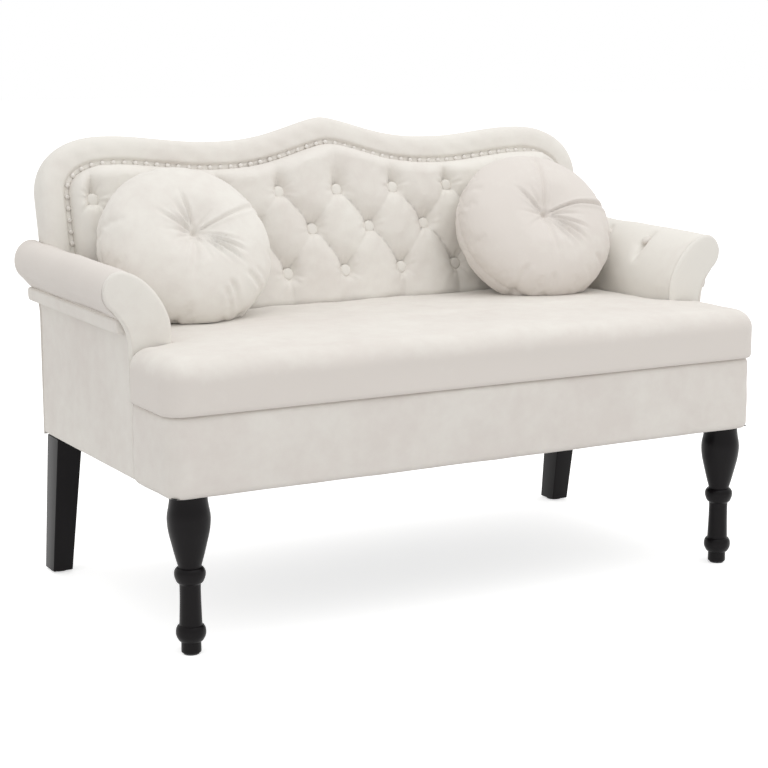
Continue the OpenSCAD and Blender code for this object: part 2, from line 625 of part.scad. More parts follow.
module arm_front_board(side) color(ply) at_frame() mirrored(side) difference() {
    arm_core(front_board_y, front_board_y + board_w, clear);
    arm_bolt_hole(arm_bolt_ys[0]);
}
module arm_rear_board(side) color(ply) at_frame() mirrored(side) difference() {
    arm_core(rear_board_y, rear_board_y + board_w, clear);
    arm_bolt_hole(arm_bolt_ys[1]);
}
arm_bolt_in_board = 25;
module arm_bolt_hole(y) translate([arm_bolt_x, y, deck_z - over])
    cylinder(h = arm_bolt_in_board + 5 * over, r = arm_bolt_r + fit, $fn = round_fn);
module arm_front_board_left() arm_front_board(-1);
module arm_front_board_right() arm_front_board(1);
module arm_rear_board_left() arm_rear_board(-1);
module arm_rear_board_right() arm_rear_board(1);

inner_board_t = 6;
inner_board_x = inner_x + arm_pad_t + clear;
module arm_inner_board(side) color(ply) at_frame() mirrored(side)
    translate([inner_board_x, front_board_y + board_w, deck_z])
        cube([inner_board_t, rear_board_y - front_board_y - board_w, arm_bend_z - deck_z]);
module arm_inner_board_left() arm_inner_board(-1);
module arm_inner_board_right() arm_inner_board(1);

top_rail_h = 36;
top_rail_gap = 3;
top_rail_w = frame_x - inner_board_x - inner_board_t - top_rail_gap;
module arm_top_rail(side) color(raw_wood) at_frame() mirrored(side)
    translate([inner_board_x + inner_board_t, front_board_y + board_w, arm_bend_z - top_rail_h / 2])
        cube([top_rail_w, rear_board_y - front_board_y - board_w, top_rail_h]);
module arm_top_rail_left() arm_top_rail(-1);
module arm_top_rail_right() arm_top_rail(1);

facing_edge = flare_line(lerp(neck[1], flare_z, 0.06), flare_z, 6);
module arm_facing(side) color(cream) at_frame() mirrored(side)
    along_arm(arm_front, arm_y) polygon(arm_section(0, concat(facing_edge, [[half_w, deck_z]])));
module arm_facing_left() arm_facing(-1);
module arm_facing_right() arm_facing(1);

// Two sewn tufts sink into each shoulder, with a pleat that runs down to the seat and over the roll
tuft_ys = [for (u = [0.3, 0.585]) lerp(arm_y, base_d, u)];
tuft_half = 9;
pleat_end = 22;
function pleat(y) = max([for (t = tuft_ys) exp(-pow((y - t) / tuft_half, 2))]);
tuft_i = 6;
function pleat_share(i) = i < 3 ? 0.15
    : i < 9 ? 1 - 0.09 * abs(i - tuft_i)
    : i < 13 ? 0.5 - 0.1 * (i - 9) : 0;
arm_outer = arm_section(0, [[lip_x, arm_lip_z], [frame_x - clear, arm_lip_z]]);
function outward(i) = let (
    a = arm_outer[max(0, i - 1)],
    b = arm_outer[min(len(arm_outer) - 1, i + 1)])
    unit([a[1] - b[1], b[0] - a[0]]);
arm_full = concat(arm_outer, [[frame_x - clear, deck_z]]);
// The roll's rear end closes in over its last part
tail_part = 20;
tail_y = base_d + arm_tail;
tail_from = tail_y - tail_part;
function arm_stations() = concat([arm_y, lerp(arm_y, tuft_ys[0], 0.5)],
    [for (t = tuft_ys) each [t - pleat_end, t - tuft_half, t, t + tuft_half, t + pleat_end]],
    [lerp(tuft_ys[1], tail_from, 0.4)], [for (u = [0, 0.65, 0.9, 1]) tail_from + tail_part * u]);
function tail_scale(y) = let (u = max(0, (y - tail_from) / tail_part)) sqrt(max(0.12, 1 - u * u));
function on_ring(p, y) = let (c = [crest_x, arm_z - arm_head_h], q = c + (p - c) * tail_scale(y))
    [q[0], y, raised(q[1], y)];
function arm_ring(y) = [for (i = [0:len(arm_full) - 1]) let (sink = arm_tuft * pleat(y) * pleat_share(i))
    on_ring(sink > 0 ? arm_full[i] - outward(i) * sink : arm_full[i], y)];
hub_share = 0.48;
hub_drop = 2;
arm_hub = [lerp(inner_x, crest_x, hub_share), arm_lip_z + core_lip - hub_drop];
module arm_pad(side) color(cream) at_frame() mirrored(side) difference() {
    skin([for (y = arm_stations()) arm_ring(y)], [on_ring(arm_hub, arm_y), on_ring(arm_hub, tail_y)]);
    pad_hollow(arm_y - over, rear_board_y + board_w + clear);
    behind_back(clear);
}
module arm_pad_left() arm_pad(-1);
module arm_pad_right() arm_pad(1);

// Outside of the arm: a flat side that curves out to the roll, and the tack strip along the curve
module beside_arm(side_view) translate([inner_x, 0, 0]) rotate([90, 0, 90]) linear_extrude(half_w)
    polygon(side_view);
function under_roll(y) = raised(arm_lip_z, y) - clear;
flare_top = under_roll(base_d);
flare_edge = flare_line(flare_z, flare_top, 8);
module arm_outer_panel(side) color(cream_shade) at_frame() mirrored(side) intersection() {
    beside_arm([[arm_front, base_z], [frame_rear, base_z], [frame_rear, under_roll(frame_rear)],
        [arm_y + clear, under_roll(arm_y)], [arm_y + clear, deck_z], [arm_front, deck_z]]);
    along_arm(arm_front, frame_rear) polygon(concat([[half_w, base_z]], flare_edge,
        [for (i = [len(flare_edge) - 1:-1:0]) flare_edge[i] - [cover_t, 0]], [[frame_x, base_z]]));
}
module arm_outer_panel_left() arm_outer_panel(-1);
module arm_outer_panel_right() arm_outer_panel(1);

strip_bevel = 3;
module arm_tack_strip(side) color(cream) at_frame() mirrored(side) difference() {
    x = half_w + strip_out;
    low = arm_lip_z - strip_h;
    intersection() {
        beside_arm([[arm_y + clear, low], [base_d, low + arm_rise], [base_d, under_roll(base_d)],
            [arm_y + clear, under_roll(arm_y)]]);
        along_arm(arm_y, base_d)
            polygon([[half_w, low], [x - strip_bevel, low], [x, low + strip_bevel], [x, flare_top],
                [half_w, flare_top]]);
    }
    along_arm(arm_front, far) polygon(concat([[frame_x, flare_z]], flare_edge, [[frame_x, flare_top]]));
}
module arm_tack_strip_left() arm_tack_strip(-1);
module arm_tack_strip_right() arm_tack_strip(1);

module arm_buttons(side) color(cream) at_frame() mirrored(side) for (y = tuft_ys) {
    g = outward(tuft_i);
    p = arm_outer[tuft_i] - g * arm_tuft;
    translate([p[0], y, raised(p[1], y)]) rotate([0, atan2(g[0], g[1]), 0])
        domed_button(stitch_r, arm_tuft * (1 - exp(-pow(button_seat_r / tuft_half, 2))) + button_edge);
}
module arm_buttons_left() arm_buttons(-1);
module arm_buttons_right() arm_buttons(1);

// Turned front leg: collar, belly, two beads and a straight foot
leg_top = base_z;
neck_r = 17;
shaft_r = 15.5;
collar_r = leg_belly * 0.85;
upper_bead_r = 23.1;
lower_bead_r = 22.2;
bead_r = 0.4;
function belly_curve(u) = (sin(90 * u) + u * u * (3 - 2 * u)) / 2;
function bead(z0, z1, r0, r1) = [for (i = [0:8]) let (a = 180 * i / 8)
    [r0 + (r1 - r0) * sin(a), lerp(z0, z1, (1 - cos(a)) / 2)]];
// Heights of the foot, both ends of the lower bead, both ends of the upper bead, the belly and the collar
leg_z = [glide_t, 19, 44, 106, 130, base_z - 35, base_z - 11];
function leg_profile() = concat(
    [[0, leg_z[0]], [leg_foot, leg_z[0]], [leg_foot, leg_z[1]]],
    bead(leg_z[1], leg_z[2], leg_foot + bead_r, lower_bead_r),
    [for (u = [0.07, 0.5, 0.93]) [lerp(neck_r, shaft_r, u), lerp(leg_z[2], leg_z[3], u)]],
    bead(leg_z[3], leg_z[4], shaft_r + bead_r, upper_bead_r),
    [for (i = [0:10]) let (u = i / 10)
        [lerp(neck_r, leg_belly, belly_curve(u)), lerp(leg_z[4] + bead_r, leg_z[5], u)]],
    [for (i = [1:5]) let (a = 18 * i)
        [lerp(leg_belly, collar_r, 1 - cos(a)), lerp(leg_z[5], leg_z[6], sin(a))]],
    [[collar_r, leg_top], [0, leg_top]]);
bolt_in_leg = 30;
bolt_over_nut = 22;
module bolt_hole(b) translate([b[0], b[1], leg_top - bolt_in_leg - over])
    cylinder(h = bolt_in_leg + 2 * over, r = bolt_r + fit, $fn = round_fn);
module front_leg(side) color(lacquer) at_frame() difference() {
    translate([side * (half_w - leg_in), leg_back, 0]) rotate_extrude($fn = round_fn) polygon(leg_profile());
    bolt_hole([side * (half_w - leg_in), leg_back]);
}
module front_leg_left() front_leg(-1);
module front_leg_right() front_leg(1);

rear_out = half_w - 0.75 * cover_t;
rear_y = frame_rear - lining_t - rear_leg_d;
rear_foot_w = 0.8 * rear_leg_w;
rear_foot_d = 0.8 * rear_leg_d;
rear_foot_y = rear_y + rear_leg_d + rear_rake - rear_foot_d;
module rear_leg(side) color(lacquer) at_frame() mirrored(side) difference() {
    intersection() {
        translate([rear_out - rear_leg_w - over, 0, 0]) rotate([90, 0, 90])
            linear_extrude(rear_leg_w + 2 * over) polygon([
                [rear_y, leg_top], [rear_y + rear_leg_d, leg_top],
                [rear_foot_y + rear_foot_d, glide_t], [rear_foot_y, glide_t]]);
        along_arm(0, far) polygon([
            [rear_out - rear_leg_w, leg_top], [rear_out, leg_top],
            [rear_out, glide_t], [rear_out - rear_foot_w, glide_t]]);
    }
    bolt_hole([rear_bolt_x, bolt_y]);
}
module rear_leg_left() rear_leg(-1);
module rear_leg_right() rear_leg(1);

glide_in = 3;
module leg_glides() color(lining) at_frame() for (s = [-1, 1]) {
    translate([s * (half_w - leg_in), leg_back, 0])
        cylinder(h = glide_t, r = leg_foot - glide_in, $fn = round_fn);
    translate([s * (rear_out - rear_foot_w / 2), rear_foot_y + rear_foot_d / 2, 0])
        cylinder(h = glide_t, r = rear_foot_w / 2 - glide_in, $fn = round_fn);
}

module hanger_bolts() color(zinc) at_frame() for (b = leg_bolts)
    translate([b[0], b[1], leg_top - bolt_in_leg])
        cylinder(h = bolt_in_leg + lining_t + nut_h + bolt_over_nut, r = bolt_r, $fn = round_fn);
module insert_nuts() color(zinc) at_frame() for (b = leg_bolts)
    translate([b[0], b[1], frame_z]) difference() {
        cylinder(h = nut_h, r = nut_r, $fn = round_fn);
        translate([0, 0, -over]) cylinder(h = nut_h + 2 * over, r = bolt_r + fit, $fn = round_fn);
    }
bolt_head_h = 5;
bolt_short = 3;
module back_bolts() color(zinc) at_frame() for (s = [-1, 1], z = back_bolt_z)
    translate([s * stile_x, stile_y, z]) rotate([-90, 0, 0]) {
        translate([0, 0, -bolt_head_h]) cylinder(h = bolt_head_h, r = 1.75 * bolt_r, $fn = 6);
        cylinder(h = frame_rear - stile_y - bolt_short, r = bolt_r, $fn = round_fn);
    }
module arm_bolts() color(zinc) at_frame() for (s = [-1, 1], y = arm_bolt_ys)
    translate([s * arm_bolt_x, y, deck_z - deck_t]) {
        translate([0, 0, -bolt_head_h]) cylinder(h = bolt_head_h, r = 1.75 * arm_bolt_r, $fn = 6);
        cylinder(h = deck_t + arm_bolt_in_board, r = arm_bolt_r, $fn = round_fn);
    }

// Loose round cushions: full lens forms, gathered at the centre, flat where they sit
cushion_r = cushion_d / 2;
lens_p = 2.2;
dimple_q = 0.22;
pleat_h = 3.5;
gather_h = 2;
ring_n = 40;
gather_r = 5.5;
function lens(q) = let (full = cushion_t / 2 * pow(max(0, 1 - pow(q, lens_p)), 1 / lens_p))
    full - cushion_dimple * exp(-pow(q / dimple_q, 2));
function pleat_wave(q, a) = let (w = a * cushion_pleats / 2)
    -pleat_h * pow(abs(cos(w)), 6) * exp(-pow((q - 0.4) / 0.3, 2))
    - (q > 0.7 ? gather_h * pow(abs(sin(w + 20)), 8) : 0);
lens_rings = [0.07, 0.2, 0.4, 0.62, 0.82, 0.95];
lens_back = [for (i = [len(lens_rings) - 1:-1:0]) [lens_rings[i], -1]];
lens_all = concat([for (q = lens_rings) [q, 1]], [[1, 0]], lens_back);
function cushion_local() = [for (g = lens_all) [for (k = [0:ring_n - 1]) let (a = -360 * k / ring_n,
    q = g[0], h = g[1] == 0 ? 0 : g[1] * (lens(q) + (q < 0.1 ? 0 : pleat_wave(q, a))))
    [cushion_r * q * cos(a), cushion_r * q * sin(a), h]]];
// Turns a point of the cushion so that its face leans up and round: x across, y up the face, z out of it
function turned(p, yaw) = let (
    l = cushion_lean,
    r = [p[0], -p[2] * cos(l) + p[1] * sin(l), p[1] * cos(l) + p[2] * sin(l)])
    [r[0] * cos(yaw) - r[1] * sin(yaw), r[0] * sin(yaw) + r[1] * cos(yaw), r[2]];
function cushion_turned(yaw) = [for (r = cushion_local()) [for (p = r) turned(p, yaw)]];
seat_rest = seat_z + clear;
function cushion_centre(x, yaw) = let (
    pts = [for (r = cushion_turned(yaw)) each r],
    z = seat_rest - cushion_squash + max([for (p = pts) -p[2]]),
    back = max([for (p = pts) p[1] * cos(back_tilt) - p[2] * sin(back_tilt)]),
    t = puff + clear + back)
    [x, back_foot + ((z - deck_z) * sin(back_tilt) - t) / cos(back_tilt), z];
cushion_yaw = [-2.1, -8.2];
cushion_x = [cushion_left_in - inner_x, inner_x - cushion_right_in];
cushion_at = [for (k = [0, 1]) cushion_centre(cushion_x[k], cushion_yaw[k])];
module cushion_frame(k) translate(cushion_at[k]) rotate([0, 0, cushion_yaw[k]])
    rotate([90 - cushion_lean, 0, 0]) children();
fill_r = 0.8 * cushion_r;
fill_h = 0.31 * cushion_t;
function fill_profile(gap) = [for (i = [0:12]) let (a = 90 - 15 * i)
    [max(0, (fill_r + gap) * cos(a)), (fill_h + gap) * sin(a)]];
module filling_form(k, gap) cushion_frame(k) rotate_extrude($fn = round_fn) polygon(fill_profile(gap));
function pressed(p) = [p[0], p[1], max(p[2], seat_rest)];
module cushion_cover(k) color(cream) at_frame() difference() {
    skin([for (r = cushion_turned(cushion_yaw[k])) [for (p = r) pressed(cushion_at[k] + p)]]);
    filling_form(k, clear);
}
module cushion_cover_left() cushion_cover(0);
module cushion_cover_right() cushion_cover(1);
module cushion_filling_left() color(foam_white) at_frame() filling_form(0, 0);
module cushion_filling_right() color(foam_white) at_frame() filling_form(1, 0);
module cushion_buttons(k) color(cream) at_frame() cushion_frame(k) for (m = [0, 1]) mirror([0, 0, m])
    translate([0, 0, lens(lens_rings[0])]) rotate_extrude($fn = 24) polygon(concat([[0, 0]],
        [for (a = [0, 30, 60]) gather_r * [cos(a), sin(a) / 2]], [[0, gather_r / 2]]));
module cushion_buttons_left() cushion_buttons(0);
module cushion_buttons_right() cushion_buttons(1);

front_rail();
rear_rail();
side_rail_left();
side_rail_right();
cross_rails();
corner_blocks();
seat_deck();
dust_cover();
base_border();
seat_foam();
seat_cover();
back_stile_left();
back_stile_right();
back_cross_rails();
back_board();
back_foam();
back_cover();
back_border();
back_outer_panel();
back_buttons();
nail_trim();
arm_front_board_left();
arm_front_board_right();
arm_rear_board_left();
arm_rear_board_right();
arm_top_rail_left();
arm_top_rail_right();
arm_inner_board_left();
arm_inner_board_right();
arm_pad_left();
arm_pad_right();
arm_facing_left();
arm_facing_right();
arm_outer_panel_left();
arm_outer_panel_right();
arm_tack_strip_left();
arm_tack_strip_right();
arm_buttons_left();
arm_buttons_right();
front_leg_left();
front_leg_right();
rear_leg_left();
rear_leg_right();
leg_glides();
hanger_bolts();
insert_nuts();
back_bolts();
arm_bolts();
cushion_cover_left();
cushion_cover_right();
cushion_filling_left();
cushion_filling_right();
cushion_buttons_left();
cushion_buttons_right();
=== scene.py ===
"""Looks of an upholstered camelback bench with two loose round cushions.

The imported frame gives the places. Every surface is worked out with numpy in metres, in the frame's own
axes, and rides on its CAD body. Heights along the back are measured along its lean from the seat deck.
"""

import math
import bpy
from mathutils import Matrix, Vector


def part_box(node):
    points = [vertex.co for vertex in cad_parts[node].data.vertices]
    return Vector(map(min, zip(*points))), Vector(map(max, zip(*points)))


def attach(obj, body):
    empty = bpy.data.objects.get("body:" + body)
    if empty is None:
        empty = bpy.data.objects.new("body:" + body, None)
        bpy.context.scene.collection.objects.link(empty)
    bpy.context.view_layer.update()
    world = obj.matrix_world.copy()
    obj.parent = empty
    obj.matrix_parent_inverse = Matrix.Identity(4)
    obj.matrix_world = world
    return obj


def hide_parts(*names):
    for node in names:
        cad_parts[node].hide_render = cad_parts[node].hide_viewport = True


bl_info = {
    "name": "Camelback bench",
    "version": (1, 0, 0),
    "blender": (4, 5, 0),
    "location": "3D View > Sidebar > Bench",
    "description": "Dresses the packed frame of a tufted camelback bench",
    "category": "Add Mesh",
}

import bpy
import numpy as np
from bpy.props import FloatProperty, FloatVectorProperty, IntProperty, PointerProperty
from bpy.types import Operator, Panel, PropertyGroup

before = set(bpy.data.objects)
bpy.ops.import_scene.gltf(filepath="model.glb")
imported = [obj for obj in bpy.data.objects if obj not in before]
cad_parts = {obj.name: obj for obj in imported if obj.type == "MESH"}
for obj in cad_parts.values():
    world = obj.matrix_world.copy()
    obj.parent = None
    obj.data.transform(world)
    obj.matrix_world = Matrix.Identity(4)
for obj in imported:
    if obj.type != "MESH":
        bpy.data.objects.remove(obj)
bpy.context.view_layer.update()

BASE_LOW, BASE_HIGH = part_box("base_border")
SEAT_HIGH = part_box("seat_cover")[1]
PANEL_LOW, PANEL_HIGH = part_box("arm_outer_panel_right")
ROLL_LOW, ROLL_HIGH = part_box("arm_pad_right")
FRONT_Y = BASE_LOW.y
DECK_Z = BASE_HIGH.z
HALF_W = BASE_HIGH.x
BACK_HALF = HALF_W - 0.001
TAU = 2 * math.pi
SIDES = {"right": 1, "left": -1}


# Sizes and colours


def length(name, description, default):
    """A length that a user may change, in metres."""
    return FloatProperty(name=name, description=description, default=default, unit="LENGTH", precision=4)


def angle(name, description, degrees):
    """An angle that a user may change, given in degrees."""
    return FloatProperty(name=name, description=description, default=math.radians(degrees), subtype="ANGLE")


def number(name, description, default, **limits):
    """A plain number that a user may change."""
    return FloatProperty(name=name, description=description, default=default, **limits)


def colour(name, description, default):
    """A scene-linear colour that a user may change."""
    return FloatVectorProperty(
        name=name, description=description, default=default, subtype="COLOR", size=3, min=0, max=1
    )


class BenchSeat(PropertyGroup):
    bulge: length("Bulge", "How far the seat cushion stands proud of the base", 0.006)
    roundness: length("Edge radius", "Radius of the cushion's upper edge", 0.036)
    crown: length("Crown", "Rise of the seat from its shoulder to its middle", 0.005)
    seam: length("Seam", "Depth of the groove between the cushion and the base", 0.004)
    band_bulge: length("Band bulge", "Swell of the padded band round the base", 0.0016)


class BenchArms(PropertyGroup):
    inner: length("Inner face", "Distance of the arm's inner face from the middle", ROLL_LOW.x)
    lean: length("Lean", "Distance of the roll's crest outward from the inner face", 0.077)
    head: length("Head", "Overhang of the roll past its crest", 0.0285)
    head_drop: length("Head drop", "Height of the roll's widest line below its crest", 0.031)
    crest: length("Crest", "Height of the roll at its front", 0.5505)
    bend: length("Bend", "Height of the straight inner face", 0.460)
    lip: length("Lip", "Height of the lip under the roll at its front", 0.480)
    rise: length("Rise", "Rise of the roll from front to back", 0.011)
    facing: length("Facing", "Thickness of the arm facings", 0.007)
    flare: length("Flare", "Height over which the outside curves out to the roll", 0.055)
    tuft: length("Tuft", "Depth of the two sewn tufts on each arm", 0.0068)


class BenchBack(PropertyGroup):
    tilt: angle("Lean", "Lean of the back from upright", 13.4)
    foot: length("Foot", "Distance of the tufted plane behind the base front at deck height", 0.445)
    peak: length("Peak", "Height of the centre peak along the back", 0.4087)
    dip: length("Dip", "Height of the two dips", 0.3702)
    hump: length("Hump", "Height of the two humps", 0.384)
    dip_x: length("Dip place", "Distance of the dips from the middle", 0.225)
    shoulder_w: length("Shoulder width", "Width of the rounded shoulders", 0.127)
    shoulder_h: length("Shoulder drop", "Drop of the rounded shoulders", 0.1007)
    border_side: length("Side border", "Width of the padded border at the sides", 0.045)
    border_top: length("Top border", "Width of the padded border along the top", 0.047)
    puff: length("Puff", "Height of the puffs over the buttons' plane", 0.030)
    pitch: length("Button spacing", "Spacing of the buttons along a row", 0.1122)
    row_low: length("Lowest row", "Height of the lowest row of buttons", 0.1316)
    row_mid: length("Middle row", "Height of the middle row of buttons", 0.2066)
    row_top: length("Top row", "Height of the top row of buttons", 0.2734)
    button: length("Button", "Diameter of the covered buttons", 0.0212)
    nail: length("Nail", "Diameter of a nail head", 0.0086)
    nail_pitch: length("Nail spacing", "Spacing of the nail heads", 0.019)


class BenchCushions(PropertyGroup):
    diameter: length("Diameter", "Diameter of the round cushions", 0.284)
    thickness: length("Thickness", "Thickness of the round cushions at the full part", 0.136)
    lean: angle("Lean", "Lean of the round cushions from upright", 35)
    dimple: length("Gather", "Depth of the gathered centre", 0.019)


class BenchLegs(PropertyGroup):
    inset: length("Inset", "Distance of the front legs' axes in from the base's sides", 0.040)
    setback: length("Setback", "Distance of the front legs' axes behind the base front", 0.033)
    edge: length("Edge", "Rounding of the rear legs' edges", 0.0016)
    facets: IntProperty(name="Facets", description="Facets round a turned leg", default=96)


class BenchFinish(PropertyGroup):
    velvet: colour("Flat velvet", "Colour where the nap lies flat", (0.785, 0.761, 0.715))
    # The darker warm colour is also where pieces are painted darker, as painted shade
    velvet_warm: colour("Brushed velvet", "Colour where the nap is brushed up", (0.712, 0.668, 0.629))
    pearl: colour("Pearl", "Colour of the nail heads", (0.74, 0.71, 0.67))
    lacquer: colour("Lacquer", "Colour of the lacquered legs", (0.0062, 0.0050, 0.0058))
    wood: colour("Frame wood", "Colour of the bare frame", (0.60, 0.42, 0.23))
    lining: colour("Lining", "Colour of the dust cover", (0.030, 0.030, 0.032))
    nap: number("Nap", "Share of the brushed-up colour in the velvet", 0.5, min=0, max=1)


class BenchStage(PropertyGroup):
    lens: number("Lens", "Focal length in millimetres on a 36 mm sensor", 85.06)
    key: number("Key light", "Power of the large lamp overhead, in watts", 20)
    side: number("Side light", "Power of the lamp at the front right, in watts", 1.5)
    sky: number("Surround", "Strength of the pale surround", 0.90)


GROUPS = {
    "bench_seat": BenchSeat,
    "bench_arms": BenchArms,
    "bench_back": BenchBack,
    "bench_cushions": BenchCushions,
    "bench_legs": BenchLegs,
    "bench_finish": BenchFinish,
    "bench_stage": BenchStage,
}


# Meshes


def lerp(a, b, u):
    return a + (b - a) * u


def smooth(u):
    """Rises from 0 to 1 as 3 u squared less 2 u cubed."""
    c = np.clip(u, 0, 1)
    return c * c * (3 - 2 * c)


def bump(distance, width):
    """A bell of height 1: e to the minus square of distance over width."""
    return np.exp(-((distance / width) ** 2))


def quarter(count):
    """Angles from 0 to a quarter turn."""
    return np.linspace(0, math.pi / 2, count)


def superellipse(u, power):
    """Height at the width u of a curve from (0, 1) to (1, 0): the two, raised to the power, add up to 1."""
    return (1 - u**power) ** (1 / power)


def rounding(distance, radius):
    """Height of a quarter round from 0 at its edge to 1 at the radius and beyond."""
    return np.sqrt(1 - (1 - np.clip(distance / radius, 0, 1)) ** 2)


def ripple(points, size, seed):
    """Wandering height of about -1 to 1: the sum of eight sine waves of about the length size, in seeded
    directions."""
    rng = np.random.default_rng(seed)
    way = rng.normal(size=(8, 3))
    way *= (TAU / size * rng.uniform(0.6, 1.4, 8) / np.linalg.norm(way, axis=1))[:, None]
    return np.sin(points @ way.T + rng.uniform(0, TAU, 8)).sum(-1) / 3


def softness(points, seed, *waves):
    """Sum of ripples, each given as (height, length), whose seeds follow on from the first."""
    return sum(high * ripple(points, size, seed + k) for k, (high, size) in enumerate(waves))


def grid(x, y, z):
    """Points from coordinates that are spread over each other."""
    return np.stack(np.broadcast_arrays(x, y, z), -1)


def spline(points, steps, closed=False):
    """Catmull-Rom curve through the points: each span is the usual cubic of its four neighbours."""
    p = np.asarray(points, float)
    n = len(p)
    spans = n if closed else n - 1
    i = np.arange(spans)[:, None]
    pick = (lambda k: p[k % n]) if closed else (lambda k: p[np.clip(k, 0, n - 1)])
    u = (np.arange(steps) / steps)[None, :, None]
    a, b, c, d = (pick(i + k) for k in (-1, 0, 1, 2))
    curve = 0.5 * (2 * b + (c - a) * u + (2 * a - 5 * b + 4 * c - d) * u**2 + (3 * b - a - 3 * c + d) * u**3)
    curve = curve.reshape(-1, p.shape[1])
    return curve if closed else np.vstack([curve, p[-1]])


def resample(path, count):
    """The same path with points at even steps of its own length."""
    run = np.concatenate([[0], np.cumsum(np.linalg.norm(np.diff(path, axis=0), axis=1))])
    at = np.linspace(0, run[-1], count)
    return np.stack([np.interp(at, run, path[:, k]) for k in range(path.shape[1])], 1)


def quads(rows, cols, wrap=False):
    """Four-cornered faces between neighbouring rows and columns of a grid of points, whose last column can
    meet its first."""
    r = np.arange(rows - 1)[:, None]
    c = np.arange(cols if wrap else cols - 1)[None]
    after = (c + 1) % cols
    corners = (r * cols + c, r * cols + after, (r + 1) * cols + after, (r + 1) * cols + c)
    return np.stack(np.broadcast_arrays(*corners), -1).reshape(-1, 4)


def fans(last, m, hub):
    """Triangles that close a tube of rings of m points: from the first ring to the point hub, and from the
    ring that starts at last to the point after hub."""
    i = np.arange(m)
    after = (i + 1) % m
    first_fan = np.stack([after, i, np.full(m, hub)], 1)
    last_fan = np.stack([last + i, last + after, np.full(m, hub + 1)], 1)
    return [first_fan, last_fan]


def outward(points, faces):
    """The faces, turned over where they close a negative volume, a sum of a . (b x c) over the triangles."""
    volume = sum(
        np.einsum("ij,ij->", points[f[:, 0]], np.cross(points[f[:, k]], points[f[:, k + 1]]))
        for f in faces
        for k in range(1, f.shape[1] - 1)
    )
    return faces if volume > 0 else [f[:, ::-1] for f in faces]


def tube(rings, flat=False):
    """Closed surface through rings of equal length. Each end is closed by a fan round its mean, or, where
    flat, by faces across a ring whose second half comes back along the first."""
    n, m = rings.shape[:2]
    points = rings.reshape(-1, 3)
    faces = [quads(n, m, wrap=True)]
    if flat:
        i = np.arange(m // 2 - 1)
        across = np.stack([i, i + 1, m - 2 - i, m - 1 - i], 1)
        faces += [across[:, ::-1], (n - 1) * m + across]
    else:
        points = np.vstack([points, rings[0].mean(0), rings[-1].mean(0)])
        faces += fans((n - 1) * m, m, n * m)
    return points, outward(points, faces)


def ball(rows):
    """Closed surface of rings whose first and last ring are single poles."""
    n, m = rows.shape[:2]
    points = np.vstack([rows[1:-1].reshape(-1, 3), rows[0].mean(0), rows[-1].mean(0)])
    return points, outward(points, [quads(n - 2, m, wrap=True), *fans((n - 3) * m, m, (n - 2) * m)])


def shell(front, rear):
    """Closed surface of two grids of equal size, joined round their edges."""
    n, m = front.shape[:2]
    points = np.vstack([front.reshape(-1, 3), rear.reshape(-1, 3)])
    face = quads(n, m)
    at = np.arange(n * m).reshape(n, m)
    rim = np.concatenate([at[0, :-1], at[:-1, -1], at[-1, :0:-1], at[:0:-1, 0]])
    after = np.roll(rim, -1)
    side = np.stack([after, rim, rim + n * m, after + n * m], 1)
    return points, outward(points, [face, face[:, ::-1] + n * m, side])


def lathe(profile, count):
    """Surface of revolution: radius and height of each point of the profile, turned round the Z axis."""
    a = TAU * np.arange(count) / count
    r, z = profile[:, :1], profile[:, 1:]
    return ball(grid(r * np.cos(a), r * np.sin(a), z))


def repeated(part, places):
    """Copies of a small surface, one for each 4 by 4 place."""
    points, faces = part
    moved = np.einsum("kij,nj->kni", places[:, :3, :3], points) + places[:, None, :3, 3]
    step = (np.arange(len(places)) * len(points))[:, None, None]
    return moved.reshape(-1, 3), [(f[None] + step).reshape(-1, f.shape[1]) for f in faces]


def on_side(part, side):
    """A surface of the right side, on that side of the bench: on the left, x changes its sign and the faces
    turn over."""
    points, faces = part
    return part if side == "right" else (points * (-1, 1, 1), [f[:, ::-1] for f in faces])


def read(items, name, width=1, kind=float):
    """One value of every item of a mesh, as rows of that width where it has more than one number."""
    values = np.zeros(len(items) * width, kind)
    items.foreach_get(name, values)
    return values.reshape(-1, width) if width > 1 else values


def evaluated(made):
    """A new mesh of the object as its modifiers leave it."""
    return bpy.data.meshes.new_from_object(made.evaluated_get(bpy.context.evaluated_depsgraph_get()))


def placed(name, data):
    """A new object with that data, in the scene."""
    made = bpy.data.objects.new(name, data)
    bpy.context.scene.collection.objects.link(made)
    return made


def piece(name, part, material, body="bench", nodes=(), sharp=None):
    """The finished object: mesh, material, body, slot, and the CAD nodes that it stands for."""
    points, faces = part
    mesh = bpy.data.meshes.new(name)
    mesh.vertices.add(len(points))
    mesh.vertices.foreach_set("co", np.ascontiguousarray(points, np.float32).ravel())
    sizes = np.concatenate([np.full(len(f), f.shape[1]) for f in faces])
    corners = np.concatenate([f.ravel() for f in faces])
    mesh.loops.add(len(corners))
    mesh.loops.foreach_set("vertex_index", corners.astype(np.int32))
    mesh.polygons.add(len(sizes))
    mesh.polygons.foreach_set("loop_start", np.concatenate([[0], np.cumsum(sizes)[:-1]]).astype(np.int32))
    mesh.update(calc_edges=True)
    mesh.validate()
    mesh.shade_smooth()
    if sharp:
        mesh.set_sharp_from_angle(angle=math.radians(sharp))
    mesh.materials.append(material)
    made = placed(name, mesh)
    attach(made, body)
    if nodes:
        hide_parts(*nodes)
    return made


# Materials


def node_group(name, inputs, outputs):
    """A shader node group with named sockets, and its nodes for what comes in and goes out."""
    tree = bpy.data.node_groups.new(name, "ShaderNodeTree")
    for label, kind, default in inputs:
        tree.interface.new_socket(label, in_out="INPUT", socket_type=kind).default_value = default
    for label, kind in outputs:
        tree.interface.new_socket(label, in_out="OUTPUT", socket_type=kind)
    return tree, tree.nodes.new("NodeGroupInput"), tree.nodes.new("NodeGroupOutput")


